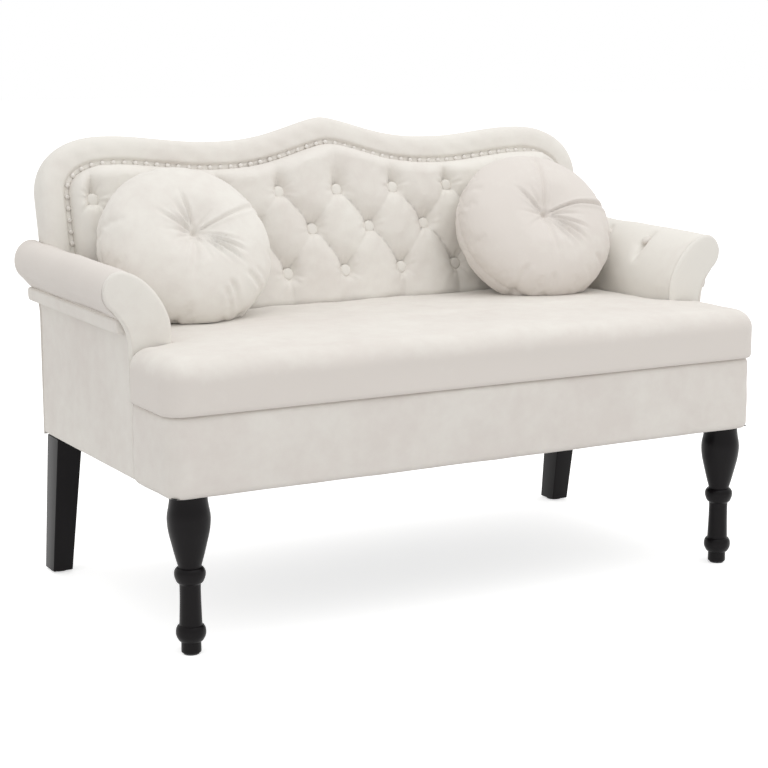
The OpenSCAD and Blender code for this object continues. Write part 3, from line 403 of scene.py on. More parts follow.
def wire(tree, node, inputs):
    """The node, with each input named here set to its value or linked to its socket."""
    for name, value in inputs.items():
        if isinstance(value, bpy.types.NodeSocket):
            tree.links.new(value, node.inputs[name])
        else:
            node.inputs[name].default_value = value
    return node


def add_node(tree, kind, inputs=None, **settings):
    """A new shader node with its settings and inputs."""
    node = tree.nodes.new("ShaderNode" + kind)
    for name, value in settings.items():
        setattr(node, name, value)
    return wire(tree, node, inputs or {})


def object_place(tree):
    """The socket of the Object coordinates."""
    return add_node(tree, "TexCoord").outputs["Object"]


def noise(tree, vector, scale, detail=3.0, roughness=0.5):
    """The grey output of a noise texture on that vector."""
    values = {"Vector": vector, "Scale": scale, "Detail": detail, "Roughness": roughness}
    return add_node(tree, "TexNoise", values).outputs["Fac"]


def math_node(tree, operation, *values):
    """The result of one arithmetic node on sockets or numbers."""
    return add_node(tree, "Math", dict(enumerate(values)), operation=operation).outputs[0]


def blend_colour(tree, share, a, b, blend="MIX"):
    """The colours a and b, blended by a share."""
    return add_node(tree, "Mix", {0: share, 6: a, 7: b}, data_type="RGBA", blend_type=blend).outputs[2]


def bumps(tree, height, strength, distance):
    """The normal that a height gives."""
    values = {"Height": height, "Strength": strength, "Distance": distance}
    return add_node(tree, "Bump", values).outputs["Normal"]


def seen_directly(tree):
    """1 for rays of the camera, of gloss and of glass, and 0 for the others."""
    path = add_node(tree, "LightPath").outputs
    seen = math_node(tree, "MAXIMUM", path["Is Camera Ray"], path["Is Glossy Ray"])
    return math_node(tree, "MAXIMUM", seen, path["Is Transmission Ray"])


def nap_group():
    """Velvet nap: random patches of two sizes shift the colour between the flat and the warm nap colour, and
    short fibres give a fine height. The share that comes in also carries each piece's painted light and
    shade.
    """
    tree, given, out = node_group(
        "velvet_nap",
        [
            ("Flat", "NodeSocketColor", (1, 1, 1, 1)),
            ("Brushed", "NodeSocketColor", (1, 1, 1, 1)),
            ("Patch", "NodeSocketFloat", 1.0),
            ("Share", "NodeSocketFloat", 0.5),
        ],
        [("Color", "NodeSocketColor"), ("Roughness", "NodeSocketFloat"), ("Height", "NodeSocketFloat")],
    )
    given = given.outputs
    scaled = {0: object_place(tree), "Scale": given["Patch"]}
    at = add_node(tree, "VectorMath", scaled, operation="SCALE").outputs[0]
    wide = noise(tree, at, 7.0, 2.0)
    small = noise(tree, at, 42.0, 4.0, 0.6)
    fibre = noise(tree, at, 900.0, 2.0)
    patches = math_node(tree, "MULTIPLY_ADD", small, 0.45, math_node(tree, "MULTIPLY", wide, 0.55))
    spread = math_node(tree, "MULTIPLY_ADD", math_node(tree, "SUBTRACT", patches, 0.5), 2.6, given["Share"])
    share = add_node(tree, "Clamp", {"Value": spread}).outputs[0]
    wire(tree, out, {
        "Color": blend_colour(tree, share, given["Flat"], given["Brushed"]),
        "Roughness": math_node(tree, "MULTIPLY_ADD", small, 0.16, 0.74),
        "Height": math_node(tree, "MULTIPLY_ADD", fibre, 0.5, math_node(tree, "MULTIPLY", small, 1.1)),
    })
    return tree


def grain_group():
    """Wood grain: noise stretched along one axis darkens the colour in streaks and roughens it."""
    tree, given, out = node_group(
        "wood_grain",
        [
            ("Color", "NodeSocketColor", (1, 1, 1, 1)),
            ("Depth", "NodeSocketFloat", 0.3),
            ("Stretch", "NodeSocketVector", (1, 12, 12)),
        ],
        [("Color", "NodeSocketColor"), ("Height", "NodeSocketFloat")],
    )
    given = given.outputs
    stretched = {0: object_place(tree), 1: given["Stretch"]}
    at = add_node(tree, "VectorMath", stretched, operation="MULTIPLY").outputs[0]
    streak = noise(tree, at, 9.0, 6.0, 0.6)
    shade = math_node(tree, "MULTIPLY", streak, given["Depth"])
    dark = blend_colour(tree, shade, given["Color"], (0.25, 0.20, 0.16, 1), "MULTIPLY")
    wire(tree, out, {"Color": dark, "Height": streak})
    return tree


def shared(tree, name, build, inputs):
    """The outputs of a node group placed in the tree; the group is built the first time."""
    group = bpy.data.node_groups.get(name) or build()
    return add_node(tree, "Group", inputs, node_tree=group).outputs


def new_material(name):
    """A material, its node tree and its one Principled shader."""
    material = bpy.data.materials.new(name)
    material.use_nodes = True
    return material, material.node_tree, material.node_tree.nodes["Principled BSDF"]


def velvet(patch=1.0, light_and_shade_shift=0.0, front=None):
    """Cream velvet: matt pile with a soft sheen, random patches of nap in two colours and short fibres. The
    patches can be finer. A shift paints light or shade on the whole piece: below 0 it is painted lighter,
    above 0 darker and warmer. Under the height called front all of it is painted darker, as painted shade on
    the seat's front face."""
    name = f"cream_velvet_{patch:g}_{light_and_shade_shift:g}".replace(".", "_").replace("-", "m")
    if front is not None:
        name += "_front"
    if name in bpy.data.materials:
        return bpy.data.materials[name]
    look = bpy.context.scene.bench_finish
    material, tree, shader = new_material(name)
    # Painted light and shade: the piece's shift moves the velvet towards its darker warm colour or away from
    # it
    share = look.nap + light_and_shade_shift
    # Painted shade: below the height front the seat's front face takes the darker warm colour, fading over
    # 30 mm towards the top
    if front is not None:
        height = add_node(tree, "SeparateXYZ", {0: object_place(tree)}).outputs["Z"]
        fall = {"Value": height, "From Min": front, "From Max": front + 0.030, "To Min": 1.3, "To Max": 0.55}
        share = add_node(tree, "MapRange", fall).outputs["Result"]
    nap = shared(tree, "velvet_nap", nap_group, {
        "Flat": (*look.velvet, 1), "Brushed": (*look.velvet_warm, 1), "Patch": patch, "Share": share,
    })
    wire(tree, shader, {
        "Base Color": nap["Color"], "Roughness": nap["Roughness"],
        "Normal": bumps(tree, nap["Height"], 0.35, 0.0006), "Specular IOR Level": 0.16,
        "Sheen Weight": 0.32, "Sheen Roughness": 0.42, "Sheen Tint": (1.0, 0.985, 0.96, 1),
    })
    return material


def wooden(name, tint, depth, roughness, coat, gloss, stretch):
    """Wood or lacquered wood, with its grain along the axis that stretch leaves at 1."""
    if name in bpy.data.materials:
        return bpy.data.materials[name]
    material, tree, shader = new_material(name)
    look = {"Color": (*tint, 1), "Depth": depth, "Stretch": stretch}
    grain = shared(tree, "wood_grain", grain_group, look)
    wire(tree, shader, {
        "Base Color": grain["Color"], "Normal": bumps(tree, grain["Height"], 0.18, 0.0004),
        "Roughness": roughness, "Coat Weight": coat, "Coat Roughness": 0.2, "Specular IOR Level": gloss,
    })
    return material


def plain(name, tint, roughness, metallic=0.0, coat=0.0):
    """A plain finish with a faint change of roughness over the surface."""
    if name in bpy.data.materials:
        return bpy.data.materials[name]
    material, tree, shader = new_material(name)
    wear = noise(tree, object_place(tree), 60.0)
    wire(tree, shader, {
        "Base Color": (*tint, 1), "Metallic": metallic, "Coat Weight": coat,
        "Roughness": math_node(tree, "MULTIPLY_ADD", wear, 0.2, roughness - 0.1),
    })
    return material


# Places


def row_y(y):
    """Y in the frame's axes of a depth behind the base front."""
    return y + FRONT_Y


def back_lean():
    """Place of the back's foot in Y, and the sine and cosine of its lean."""
    back = bpy.context.scene.bench_back
    return row_y(back.foot), math.sin(back.tilt), math.cos(back.tilt)


def leaned(x, s, t):
    """Point of the back: x across, s along its lean from the deck, t out from the buttons' plane."""
    foot, sin, cos = back_lean()
    return grid(x, foot + s * sin - t * cos, DECK_Z + s * cos + t * sin)


def back_depth(points):
    """How far points lie in front of the buttons' plane."""
    foot, sin, cos = back_lean()
    return (points[..., 2] - DECK_Z) * sin - (points[..., 1] - foot) * cos


# Outline of the back


# Powers of the curves of shoulder, peak and arm, and how far columns of points crowd to the sides
SHOULDER_POWER = 2.35
PEAK_POWER = 1.5
ARM_POWER = 1.65
CROWDING = 1.25


def hump_x(back):
    """Distance from the middle at which the rounded shoulders start."""
    return BACK_HALF - back.shoulder_w


def crest(back, x):
    """Height of the camel outline: a rounded peak, two dips and a level hump at each end. The peak falls as
    the cube of 1 less the share of the dip's distance raised to 1.5."""
    a = np.abs(x)
    peak = back.dip + (back.peak - back.dip) * np.clip(1 - (a / back.dip_x) ** PEAK_POWER, 0, 1) ** 3
    rise = lerp(back.dip, back.hump, smooth((a - back.dip_x) / (hump_x(back) - back.dip_x)))
    return np.where(a < back.dip_x, peak, rise)


def half_at(back, s, q):
    """Half width at height s of the outline taken in by a share q of the border: straight sides, then a
    superellipse corner of power 2.35."""
    low = back.hump - back.shoulder_h
    u = np.clip((s - low) / (back.shoulder_h - q * back.border_top), 0, 1)
    corner = (back.shoulder_w - q * back.border_side) * superellipse(u, SHOULDER_POWER)
    return np.where(s > low, hump_x(back) + corner, BACK_HALF - q * back.border_side)


def inner_arm(arms, z):
    """Distance of the arm's inner surface from the middle at a height: a straight face, then a shoulder of
    power 1.65 that leans out to the crest."""
    u = np.clip((z - arms.bend) / (arms.crest - arms.bend), 0, 1)
    return arms.inner + arms.lean - arms.lean * superellipse(u, ARM_POWER)


def camel_grid(back, q, low, level, across, straight, curved, half=None):
    """Grid over the inside of the outline: straight rows from low to level, then rows that turn into the
    camel outline. Columns are spread over the half width of their own row, closer at the sides."""
    u = np.sin(np.linspace(-1, 1, across) * CROWDING) / math.sin(CROWDING)
    f = np.concatenate([np.zeros(straight), np.sin(quarter(curved + 1)[1:])])[:, None]
    top = back.hump - q * back.border_top
    s_row = np.concatenate([np.linspace(low, level, straight), lerp(level, top, f[straight:, 0])])[:, None]
    width = half_at(back, s_row, q)
    if half is not None:
        width = np.minimum(width, half(s_row))
    x = u[None] * width
    s = np.where(f > 0, lerp(level, crest(back, x) - q * back.border_top, f), s_row)
    return x, s, width


def camel_path(back, q, low):
    """The outline as one line of points, taken in by a share q of the border, up the right side, over the
    top and down the left."""
    c = back.hump - back.shoulder_h
    ds, dt = q * back.border_side, q * back.border_top
    a = quarter(41)[1:-1]
    up = np.column_stack([np.full(14, BACK_HALF - ds), np.linspace(low, c, 14)])
    bend = np.column_stack([
        hump_x(back) + (back.shoulder_w - ds) * np.cos(a) ** (2 / SHOULDER_POWER),
        c + (back.shoulder_h - dt) * np.sin(a) ** (2 / SHOULDER_POWER),
    ])
    x = np.linspace(hump_x(back), 0, 111)
    half = np.vstack([up, bend, np.column_stack([x, crest(back, x) - dt])])
    return np.vstack([half, (half * (-1, 1))[-2::-1]])


# Where pad, border, buttons, nails and outside panel begin and end. Depths are from the buttons' plane.
PAD_SHARE = 1.08
PAD_LOW = 0.060
PAD_EDGE = 0.028
PAD_FOOT = -0.0075
BUTTON_SEAT = 0.0035
NAIL_SEAT = -0.008
SLAB_REAR = -0.022
BORDER_REAR = -0.053
BORDER_FOOT_Z = 0.4646
PANEL_REAR = -0.056
PANEL_SHARE = 0.14
PANEL_LEVEL = 0.270
ARM_GAP = 0.0012


def button_rows(back):
    """Places of the covered buttons, (x, s): three rows, the middle one shifted by half a spacing."""
    rows = (
        (back.row_top, range(-4, 5), 0), (back.row_mid, range(-4, 4), 0.5), (back.row_low, range(-3, 4), 0),
    )
    return np.array([((i + shift) * back.pitch, s) for s, places, shift in rows for i in places])


def tuft_height(back, x, s):
    """Share of the puff: a low power of the difference of two cosines that is zero along the pleats. A
    pleat bends as d + 0.3 d (1 - d) of its drop d from the upper button. Those down to the right are
    deeper, and round each button a bell, long above it and short below, draws the cloth in."""
    across = TAU * x / back.pitch
    upper = s > back.row_mid
    above = (back.row_top - s) / (back.row_top - back.row_mid)
    below = (back.row_mid - s) / (back.row_mid - back.row_low)
    d = np.clip(np.where(upper, above, below), 0, 1)
    turn = np.where(upper, 1, -1)
    swell = np.abs(np.cos(math.pi * d * (1 + 0.3 * (1 - d))) * turn - np.cos(across)) / 2
    handed = np.sin(across) * turn * 4 * d * (1 - d)
    drawn = np.zeros_like(x)
    for bx, bs in button_rows(back):
        long = np.where(s > bs, 0.030, 0.0115)
        drawn = np.maximum(drawn, bump(x - bx, 0.0155) * bump(s - bs, long))
    ridge = (0.70 - 0.20 * handed) * (1 - drawn)
    return ridge + (1 - ridge) * swell**0.42


def tufted_pad(back, arms):
    """Front of the tufted pad: the tuft height, lifted from a rounded edge, with puckers that fan out from
    each button as two sines in the angle round it."""

    def beside_arm(s):
        return inner_arm(arms, DECK_Z + s * math.cos(back.tilt) - arms.rise) - ARM_GAP

    x, s, width = camel_grid(
        back, PAD_SHARE, PAD_LOW, back.row_top, across=460, straight=84, curved=52, half=beside_arm
    )
    cap = crest(back, x) - PAD_SHARE * back.border_top
    edge = np.minimum(np.minimum(width - np.abs(x), cap - s), s - PAD_LOW)
    high = back.puff * tuft_height(back, x, s)
    for k, (bx, bs) in enumerate(button_rows(back)):
        away, turn = np.hypot(x - bx, s - bs), np.arctan2(s - bs, x - bx)
        fan = np.cos(9 * turn + 1.3 * k) + 0.6 * np.cos(14 * turn + 2.1 * k)
        high += 0.0007 * fan * bump(away - 0.017, 0.010)
    high += softness(grid(x, s, 0.0), 3, (0.0011, 0.085), (0.0004, 0.022))
    front = np.minimum(lerp(PAD_FOOT, high, rounding(edge, PAD_EDGE)), back.puff)
    return shell(leaned(x, s, front), leaned(x, s, SLAB_REAR))


def border_low():
    """Height along the back at which the border starts, inside the arms."""
    _, sin, cos = back_lean()
    return (BORDER_FOOT_Z - DECK_Z - BORDER_REAR * sin) / cos


def padded_border(back):
    """The border: a padded section, carried round the camel outline, from the nails over the roll to the
    rear. The section is a closed curve through (share of the border's width, height over the buttons)."""
    control = [
        (1.10, SLAB_REAR), (1.12, -0.013), (1.06, -0.0092), (0.99, -0.0090), (0.92, -0.0090),
        (0.87, -0.0060), (0.81, -0.0034), (0.66, -0.0024), (0.42, -0.0024), (0.20, -0.0052),
        (0.07, -0.0110), (0.005, -0.0200), (-0.01, -0.0300), (0.02, -0.0415), (0.09, -0.0490),
        (0.20, BORDER_REAR), (0.5, BORDER_REAR), (0.9, -0.045),
    ]
    section = spline(control, 5, closed=True)
    x, s = np.stack([camel_path(back, q, border_low()) for q in section[:, 0]], 1).transpose(2, 0, 1)
    soft = softness(grid(x, s, 0.0), 11, (0.0009, 0.11), (0.0004, 0.03))
    return tube(leaned(x, s, section[:, 1] + np.clip((section[:, 1] + 0.03) / 0.02, 0, 1) * soft))


def nail_places(back):
    """4 by 4 places of the nail heads along the line between border and pad, facing out of the back."""
    path = camel_path(back, 1.0, back.row_mid)
    run = np.linalg.norm(np.diff(path, axis=0), axis=1).sum()
    at = resample(path, int(run / back.nail_pitch) + 1)
    return turned_places(at, NAIL_SEAT)


def turned_places(at, t):
    """4 by 4 places on the back whose Z axis points out of it."""
    _, sin, cos = back_lean()
    places = np.tile(np.eye(4), (len(at), 1, 1))
    places[:, :3, :3] = [[1, 0, 0], [0, sin, -cos], [0, cos, sin]]
    places[:, :3, 3] = leaned(at[:, 0], at[:, 1], t)
    return places


def nail_head(d):
    """A domed nail head: a short skirt, then a quarter of an ellipse three tenths as high as the head is
    wide."""
    a = quarter(7)
    dome = np.column_stack([d / 2 * np.cos(a), 0.0007 + d * 0.30 * np.sin(a)])
    dome[-1, 0] = 0
    return lathe(np.vstack([[0, -0.001], [d / 2 - 0.0004, -0.001], dome]), 18)


def covered_button(d):
    """A cloth-covered button: a cone under it that follows the cloth, a soft edge and a low dome."""
    r = d / 2
    control = [(0.0, -0.002), (0.5 * r, 0.0005), (0.93 * r, 0.0055), (r, 0.0080), (0.95 * r, 0.0102)]
    control += [(0.78 * r, 0.0118), (0.45 * r, 0.0126), (0.0, 0.0129)]
    profile = spline(control, 4)
    profile[[0, -1], 0] = 0
    return lathe(profile, 36)


# Seat and base


# The seat's ears end at this depth, its rear edge swells back, edges held by arms and back are taken in
# by this share, and its rings close in on a middle line of this half width and depth.
EARS = 0.1425
REAR_SWELL = 0.012
HELD = 0.35
MIDDLE_X, MIDDLE_Y = 0.33, 0.21


def seat_corners(seat):
    """Corners of the T-shaped plan, half of it: place, inward directions of the two edges that meet there,
    radius, and whether the corner is hollow. Edges that stand against the arms and the back are taken in
    by a smaller share, and the rear edge swells back against the tufted pad."""
    w, f = HALF_W + seat.bulge, -seat.bulge
    side, rear = bpy.context.scene.bench_arms.inner - 0.0005, SEAT_HIGH.y - FRONT_Y + REAR_SWELL
    return [
        ((w, f), (0, 1), (-1, 0), 0.033, False),
        ((w, EARS), (-1, 0), (0, -HELD), 0.012, False),
        ((side, EARS), (0, -HELD), (-HELD, 0), 0.0015, True),
        ((side, rear), (-HELD, 0), (0, -HELD), 0.010, False),
    ]


def seat_loop(seat, d):
    """Plan of the cushion taken in by d, as a loop of points. Each corner is a quarter circle, and the
    edges between corners are divided evenly."""
    half = []
    a = quarter(10)[:, None]
    for place, one, two, radius, hollow in seat_corners(seat):
        one, two = np.array(one, float), np.array(two, float)
        u, v = one / np.linalg.norm(one), two / np.linalg.norm(two)
        r = radius if hollow else -max(radius - d, 0.005)
        half.append(np.array(place) + (one + two) * d + r * (u * np.cos(a) + v * np.sin(a) - u - v))
    corners = half + [(c * (-1, 1))[::-1] for c in half[::-1]]
    loop = []
    for k, steps in enumerate((36, 18, 60, 200, 60, 18, 36, 240)):
        after = corners[(k + 1) % len(corners)][0]
        loop += [corners[k], lerp(corners[k][-1], after, (np.arange(1, steps) / steps)[:, None])]
    return np.vstack(loop)


def seat_cushion(seat):
    """The fixed seat cushion: rings of the T plan, each (taken in by, height, share of the way to the
    middle line), rise from the seam over the bulging side and a quarter round shoulder, then close in
    over a crown that rises as a parabola."""
    top, foot, r = SEAT_HIGH.z, DECK_Z + 0.0006, seat.roundness
    shoulder = top - seat.crown - r
    rings = [(seat.seam + 0.004, DECK_Z, 0.0), (seat.seam, foot, 0.0)]
    rings += [(seat.seam * (1 - math.sin(a)), foot + 0.008 * (1 - math.cos(a)), 0.0) for a in quarter(7)[1:]]
    rings += [(0.0, z, 0.0) for z in np.linspace(DECK_Z + 0.012, shoulder, 7)]
    rings += [(r * (1 - math.cos(a)), shoulder + r * math.sin(a), 0.0) for a in quarter(16)[1:]]
    rings += [(r, top - seat.crown * (1 - u) ** 2, u) for u in np.linspace(0, 1, 46)[1:]]
    rows = []
    for d, z, u in rings:
        loop = seat_loop(seat, d)
        middle = np.column_stack([np.clip(loop[:, 0], -MIDDLE_X, MIDDLE_X), np.full(len(loop), MIDDLE_Y)])
        rows.append(np.column_stack([lerp(loop, middle, u**0.9 * 0.999), np.full(len(loop), z)]))
    points = np.array(rows)
    flat = points * (1, 1, 0.3)
    side = bump(points[..., 2] - (shoulder - 0.012), 0.030)
    closing = np.array(rings)[:, 2:]
    level = smooth((points[..., 2] - shoulder) / r) * smooth((1 - closing) / 0.12)
    inward = grid(points[..., 0] * 0.2, points[..., 1] - MIDDLE_Y, 0.0)
    inward /= np.linalg.norm(inward, axis=-1, keepdims=True) + 1e-9
    points = points - inward * (side * (0.0010 + softness(flat, 21, (0.0010, 0.16))))[..., None]
    points[..., 2] += level * (softness(flat, 22, (0.0010, 0.19), (0.0004, 0.06)) - 0.0012)
    points[..., 1] += FRONT_Y
    return tube(points)


def base_path():
    """Plan of the band round the base, from the right arm round the front to the left, and the direction
    out of it at each point. The corners are quarter circles of 27 mm."""
    r, end, count = 0.027, PANEL_LOW.y - FRONT_Y, 300
    a = quarter(14)
    side = np.column_stack([np.full(24, HALF_W), np.linspace(end, r, 25)[:-1]])
    half = np.vstack([side, np.column_stack([HALF_W - r + r * np.cos(a), r - r * np.sin(a)])])
    half_out = np.vstack([np.tile([1.0, 0.0], (24, 1)), np.column_stack([np.cos(a), -np.sin(a)])])
    front = np.column_stack([np.linspace(HALF_W - r, r - HALF_W, count + 2)[1:-1], np.zeros(count)])
    path = np.vstack([half, front, (half * (-1, 1))[::-1]])
    ways = np.vstack([half_out, np.tile([0.0, -1.0], (count, 1)), (half_out * (-1, 1))[::-1]])
    return path, ways


def base_band(seat):
    """The padded band: a section that swells as half a sine between its seam and its lower edge, carried
    round the front of the base. Its rear side is straight, and its ends are drawn in at their seams."""
    low, high, count = BASE_LOW.z, DECK_Z - 0.0004, 34
    u = np.linspace(0, 1, count)
    z = lerp(low, high, u)
    tuck = 0.0034 * (bump(z - low, 0.0030) + 0.9 * bump(z - high, 0.0042))
    out = seat.band_bulge * np.sin(math.pi * u) ** 0.7 - tuck
    out, z = np.concatenate([out, np.full(count, -0.0052)]), np.concatenate([z, z[::-1]])
    outer = out > -0.005
    path, ways = base_path()
    end = np.minimum(np.arange(len(path)), np.arange(len(path))[::-1])[:, None] * 0.0045
    offset = out - np.where(outer, 0.0016 * bump(end, 0.006), 0)
    plan = path[:, None] + ways[:, None] * offset[..., None]
    points = grid(plan[..., 0], plan[..., 1], z)
    move = np.where(outer, softness(points, 31, (0.0010, 0.17), (0.0004, 0.05)) - 0.0006, 0)
    points[..., :2] += ways[:, None] * move[..., None]
    points[..., 1] += FRONT_Y
    return tube(points, flat=True)


# Arms


# Depths of an arm are behind the base front. Its tufts lie at TUFT_PLACE, (x, z) in its section.
NECK_ANGLE = math.radians(-55)
FLARE_POWER = 2.8
ARM_FRONT = 0.150
BASE_REAR = 0.542
RING = 130
TAIL = 0.014
BEHIND = -0.016
TUFT_PLACE = (0.4945, 0.5225)
SWELLS = (0.205, 0.325, 0.455)
ARM_BUTTON_AXES = np.stack([(0.672, 0, 0.74), (0, 1, 0), (-0.74, 0, 0.672)], 1)


def arm_crest(arms):
    """Distance of the roll's crest from the middle."""
    return arms.inner + arms.lean


def neck_point(arms):
    """Where the roll ends over the arm's outside."""
    centre = arms.crest - arms.head_drop
    return arm_crest(arms) + arms.head * math.cos(NECK_ANGLE), centre + arms.head_drop * math.sin(NECK_ANGLE)


def arm_profile(arms):
    """Section of an arm from the deck up its inner face, over the leaning shoulder and round the rolled
    head to the neck, as (x, z): a superellipse of power 1.65, then an ellipse."""
    crest_x, a, b = arm_crest(arms), quarter(40), np.linspace(math.pi / 2, NECK_ANGLE, 40)[1:]
    face = np.column_stack([np.full(14, arms.inner), np.linspace(DECK_Z, arms.bend, 15)[:-1]])
    sweep = np.column_stack([
        crest_x - arms.lean * np.cos(a) ** (2 / ARM_POWER),
        arms.bend + (arms.crest - arms.bend) * np.sin(a) ** (2 / ARM_POWER),
    ])
    head = np.column_stack([
        crest_x + arms.head * np.cos(b), arms.crest - arms.head_drop + arms.head_drop * np.sin(b),
    ])
    return np.vstack([face, sweep, head])


def flare_x(arms, z):
    """Distance of the arm's outside from the middle: straight, then out to the neck as the power 2.8."""
    x1, z1 = neck_point(arms)
    z0 = arms.lip - arms.flare
    return HALF_W + (x1 - HALF_W) * np.clip((z - z0) / (z1 - z0), 0, 1.1) ** FLARE_POWER


def raised(arms, z, y):
    """Heights lifted by the roll's rise, which grows along the arm and with the height over the deck."""
    share = np.clip((y - ARM_FRONT) / (BASE_REAR - ARM_FRONT), 0, 1)
    return z + arms.rise * share * np.clip(z - DECK_Z, 0, None) / (arms.crest - DECK_Z)


def tuft_depths():
    """Distances of the two sewn tufts of an arm behind the base front."""
    return [lerp(ARM_FRONT, BASE_REAR, u) for u in (0.30, 0.585)]


def roll_ring(arms):
    """Section of the roll: its cloth line, then back under the roll and down inside the base's side, each
    as RING points."""
    neck, inside = arm_crest(arms) + 0.003, HALF_W - 0.006
    under = np.column_stack([np.linspace(neck, inside, 30)[1:], np.full(29, arms.lip)])
    return np.vstack([
        resample(np.vstack([arm_profile(arms), [(neck, arms.lip)]]), RING),
        resample(np.vstack([under, [(inside, DECK_Z)]]), RING),
    ])


def tuft_sink(arms, y, run, at):
    """How far the cloth of the roll is drawn in at a depth y and a share run of its line: a bell round each
    tuft and a slanting pleat from it down to the seat and over the roll, with the arm full between them."""
    sink = -0.0016 * sum(bump(y - m, 0.045) for m in SWELLS) * bump(run - 0.45, 0.3)
    for k, t in enumerate(tuft_depths()):
        slant = np.where(run > at, 0.075, -0.035) * (run - at) * (1 if k else -0.8)
        line = 0.70 * bump(y - t - slant, 0.0036) + 0.55 * bump(y - t - slant, 0.012)
        along = smooth((run - at + 0.13) / 0.09) * smooth((at + 0.125 - run) / 0.07)
        sink = sink + arms.tuft * (0.6 * bump(np.hypot(y - t, (run - at) * 0.36), 0.010) + line * along)
    return sink


def arm_roll(arms):
    """The padded arm: its section carried back along the bench and drawn in by two tufts. Behind the back
    it is cut off beside the base's side and at the lip, and its rear end closes as a quarter ellipse."""
    ring, tail = roll_ring(arms), ROLL_HIGH.y - FRONT_Y
    y = np.concatenate([
        ARM_FRONT + np.array([0, 0.0004, 0.0012, 0.0026]), np.linspace(ARM_FRONT + 0.005, tail - TAIL, 200),
        tail - TAIL + TAIL * np.sin(quarter(18)[1:]),
    ])[:, None]
    run = np.linspace(0, 1, RING)
    at = run[np.argmin(np.linalg.norm(ring[:RING] - TUFT_PLACE, axis=1))]
    step = np.gradient(ring[:RING], axis=0)
    out = np.column_stack([-step[:, 1], step[:, 0]]) / np.linalg.norm(step, axis=1)[:, None]
    section = np.repeat(ring[None], len(y), 0)
    section[:, :RING] -= out * tuft_sink(arms, y, run, at)[..., None]
    points = grid(section[..., 0], row_y(y), raised(arms, section[..., 1], y))
    points[:, :RING, ::2] += softness(points, 41, (0.0010, 0.11), (0.0001, 0.03))[:, :RING, None] * out
    beside = HALF_W + 0.0003
    behind = back_depth(points) < BEHIND
    cut = behind & (points[..., 0] < beside)
    under = cut | (behind & (np.arange(2 * RING) >= RING))
    points[..., 0] = np.where(cut, beside, points[..., 0])
    points[..., 2] = np.where(under, np.maximum(points[..., 2], raised(arms, arms.lip, y)), points[..., 2])
    hub = grid(arm_crest(arms), row_y(y), raised(arms, arms.crest - arms.head_drop, y))
    share = np.maximum(rounding(tail - y, TAIL), 0.02) * (1 - 0.006 * bump(y - ARM_FRONT, 0.0022))
    return tube(lerp(hub, points, share[..., None]))


def arm_facing(arms):
    """The flat padded front of an arm: a strip between the inner line and the outer line of the section,
    whose face falls away as a parabola within 5 mm of its edge."""
    profile = arm_profile(arms)
    widest = int(np.argmax(profile[:, 0]))
    inner = resample(profile[: widest + 1], 150)
    z = np.linspace(DECK_Z, neck_point(arms)[1], 60)[:-1]
    outer = resample(np.vstack([np.column_stack([flare_x(arms, z), z]), profile[: widest - 1 : -1]]), 150)
    outer[-1] = inner[-1]
    v = (1 - np.cos(np.linspace(0, math.pi, 34))) / 2
    flat = lerp(inner[:, None], outer[:, None], v[None, :, None])
    rim = np.vstack([inner, outer[::-1]])
    gap = np.sqrt(((flat.reshape(-1, 1, 2) - rim[None]) ** 2).sum(-1)).min(1).reshape(flat.shape[:2])
    sink = 0.0026 * (1 - np.clip(gap / 0.005, 0, 1)) ** 2 - 0.0008 * smooth(gap / 0.02)
    front = grid(flat[..., 0], row_y(ARM_FRONT - arms.facing) + sink, flat[..., 1])
    front[..., 1] += softness(front, 51, (0.0006, 0.07)) * smooth(gap / 0.01) + 0.0006
    return shell(front, grid(flat[..., 0], row_y(ARM_FRONT - 0.0002), flat[..., 1]))


def cord(path, radius):
    """A round cord along a path: a circle square to the path at each point, turned with it."""
    ahead = np.gradient(path, axis=0)
    ahead /= np.linalg.norm(ahead, axis=1)[:, None]
    side = np.cross(ahead, (0.0, 1.0, 0.0))
    side /= np.linalg.norm(side, axis=1)[:, None]
    up = np.cross(side, ahead)
    a = (TAU * np.arange(10) / 10)[None, :, None]
    return tube(path[:, None] + radius * (side[:, None] * np.cos(a) + up[:, None] * np.sin(a)))


def arm_welt(arms):
    """Thin welt sewn into the seam between the facing and the side, from the roll down to the seat deck."""
    z = np.linspace(neck_point(arms)[1] - 0.004, DECK_Z + 0.002, 70)
    return cord(grid(flare_x(arms, z) - 0.0002, row_y(ARM_FRONT - 0.0032), z), 0.0012)


def side_panel(arms):
    """The cloth side of an arm: straight up from the base, then out to the roll; its lower edge turns under
    as a small quarter round, and its front and rear edges are drawn in along their seams."""
    foot = BASE_LOW.z + 0.0028
    low = foot + 0.004 * (1 - np.cos(quarter(6)))[:-1]
    z = np.concatenate([low, np.linspace(BASE_LOW.z + 0.007, arms.lip + 0.001, 70)])
    turn = 0.0032 * (1 - np.clip((z - foot) / 0.004, 0, 1)) ** 2
    x = np.concatenate([flare_x(arms, z) - turn, (flare_x(arms, z) - 0.0056)[::-1]])
    outer = np.arange(2 * len(z)) < len(z)
    z = np.concatenate([z, z[::-1]])
    first, last = PANEL_LOW.y - FRONT_Y, PANEL_HIGH.y - FRONT_Y
    y = np.concatenate([first + np.array([0, 0.0008, 0.002, 0.004]), np.linspace(first + 0.007, last, 96)])
    y = y[:, None]
    points = grid(x, row_y(y), raised(arms, z, y) - 0.0003 * smooth((z - DECK_Z) / 0.05))
    drawn = 0.0018 * bump(y - first, 0.004) + 0.0008 * bump(y - last, 0.006)
    soft = softness(points, 61, (0.0013, 0.20), (0.0004, 0.06)) - 0.0012
    soft = soft * smooth((points[..., 2] - BASE_LOW.z - 0.004) / 0.03)
    points[..., 0] += np.where(outer, soft - drawn, 0)
    return tube(points, flat=True)


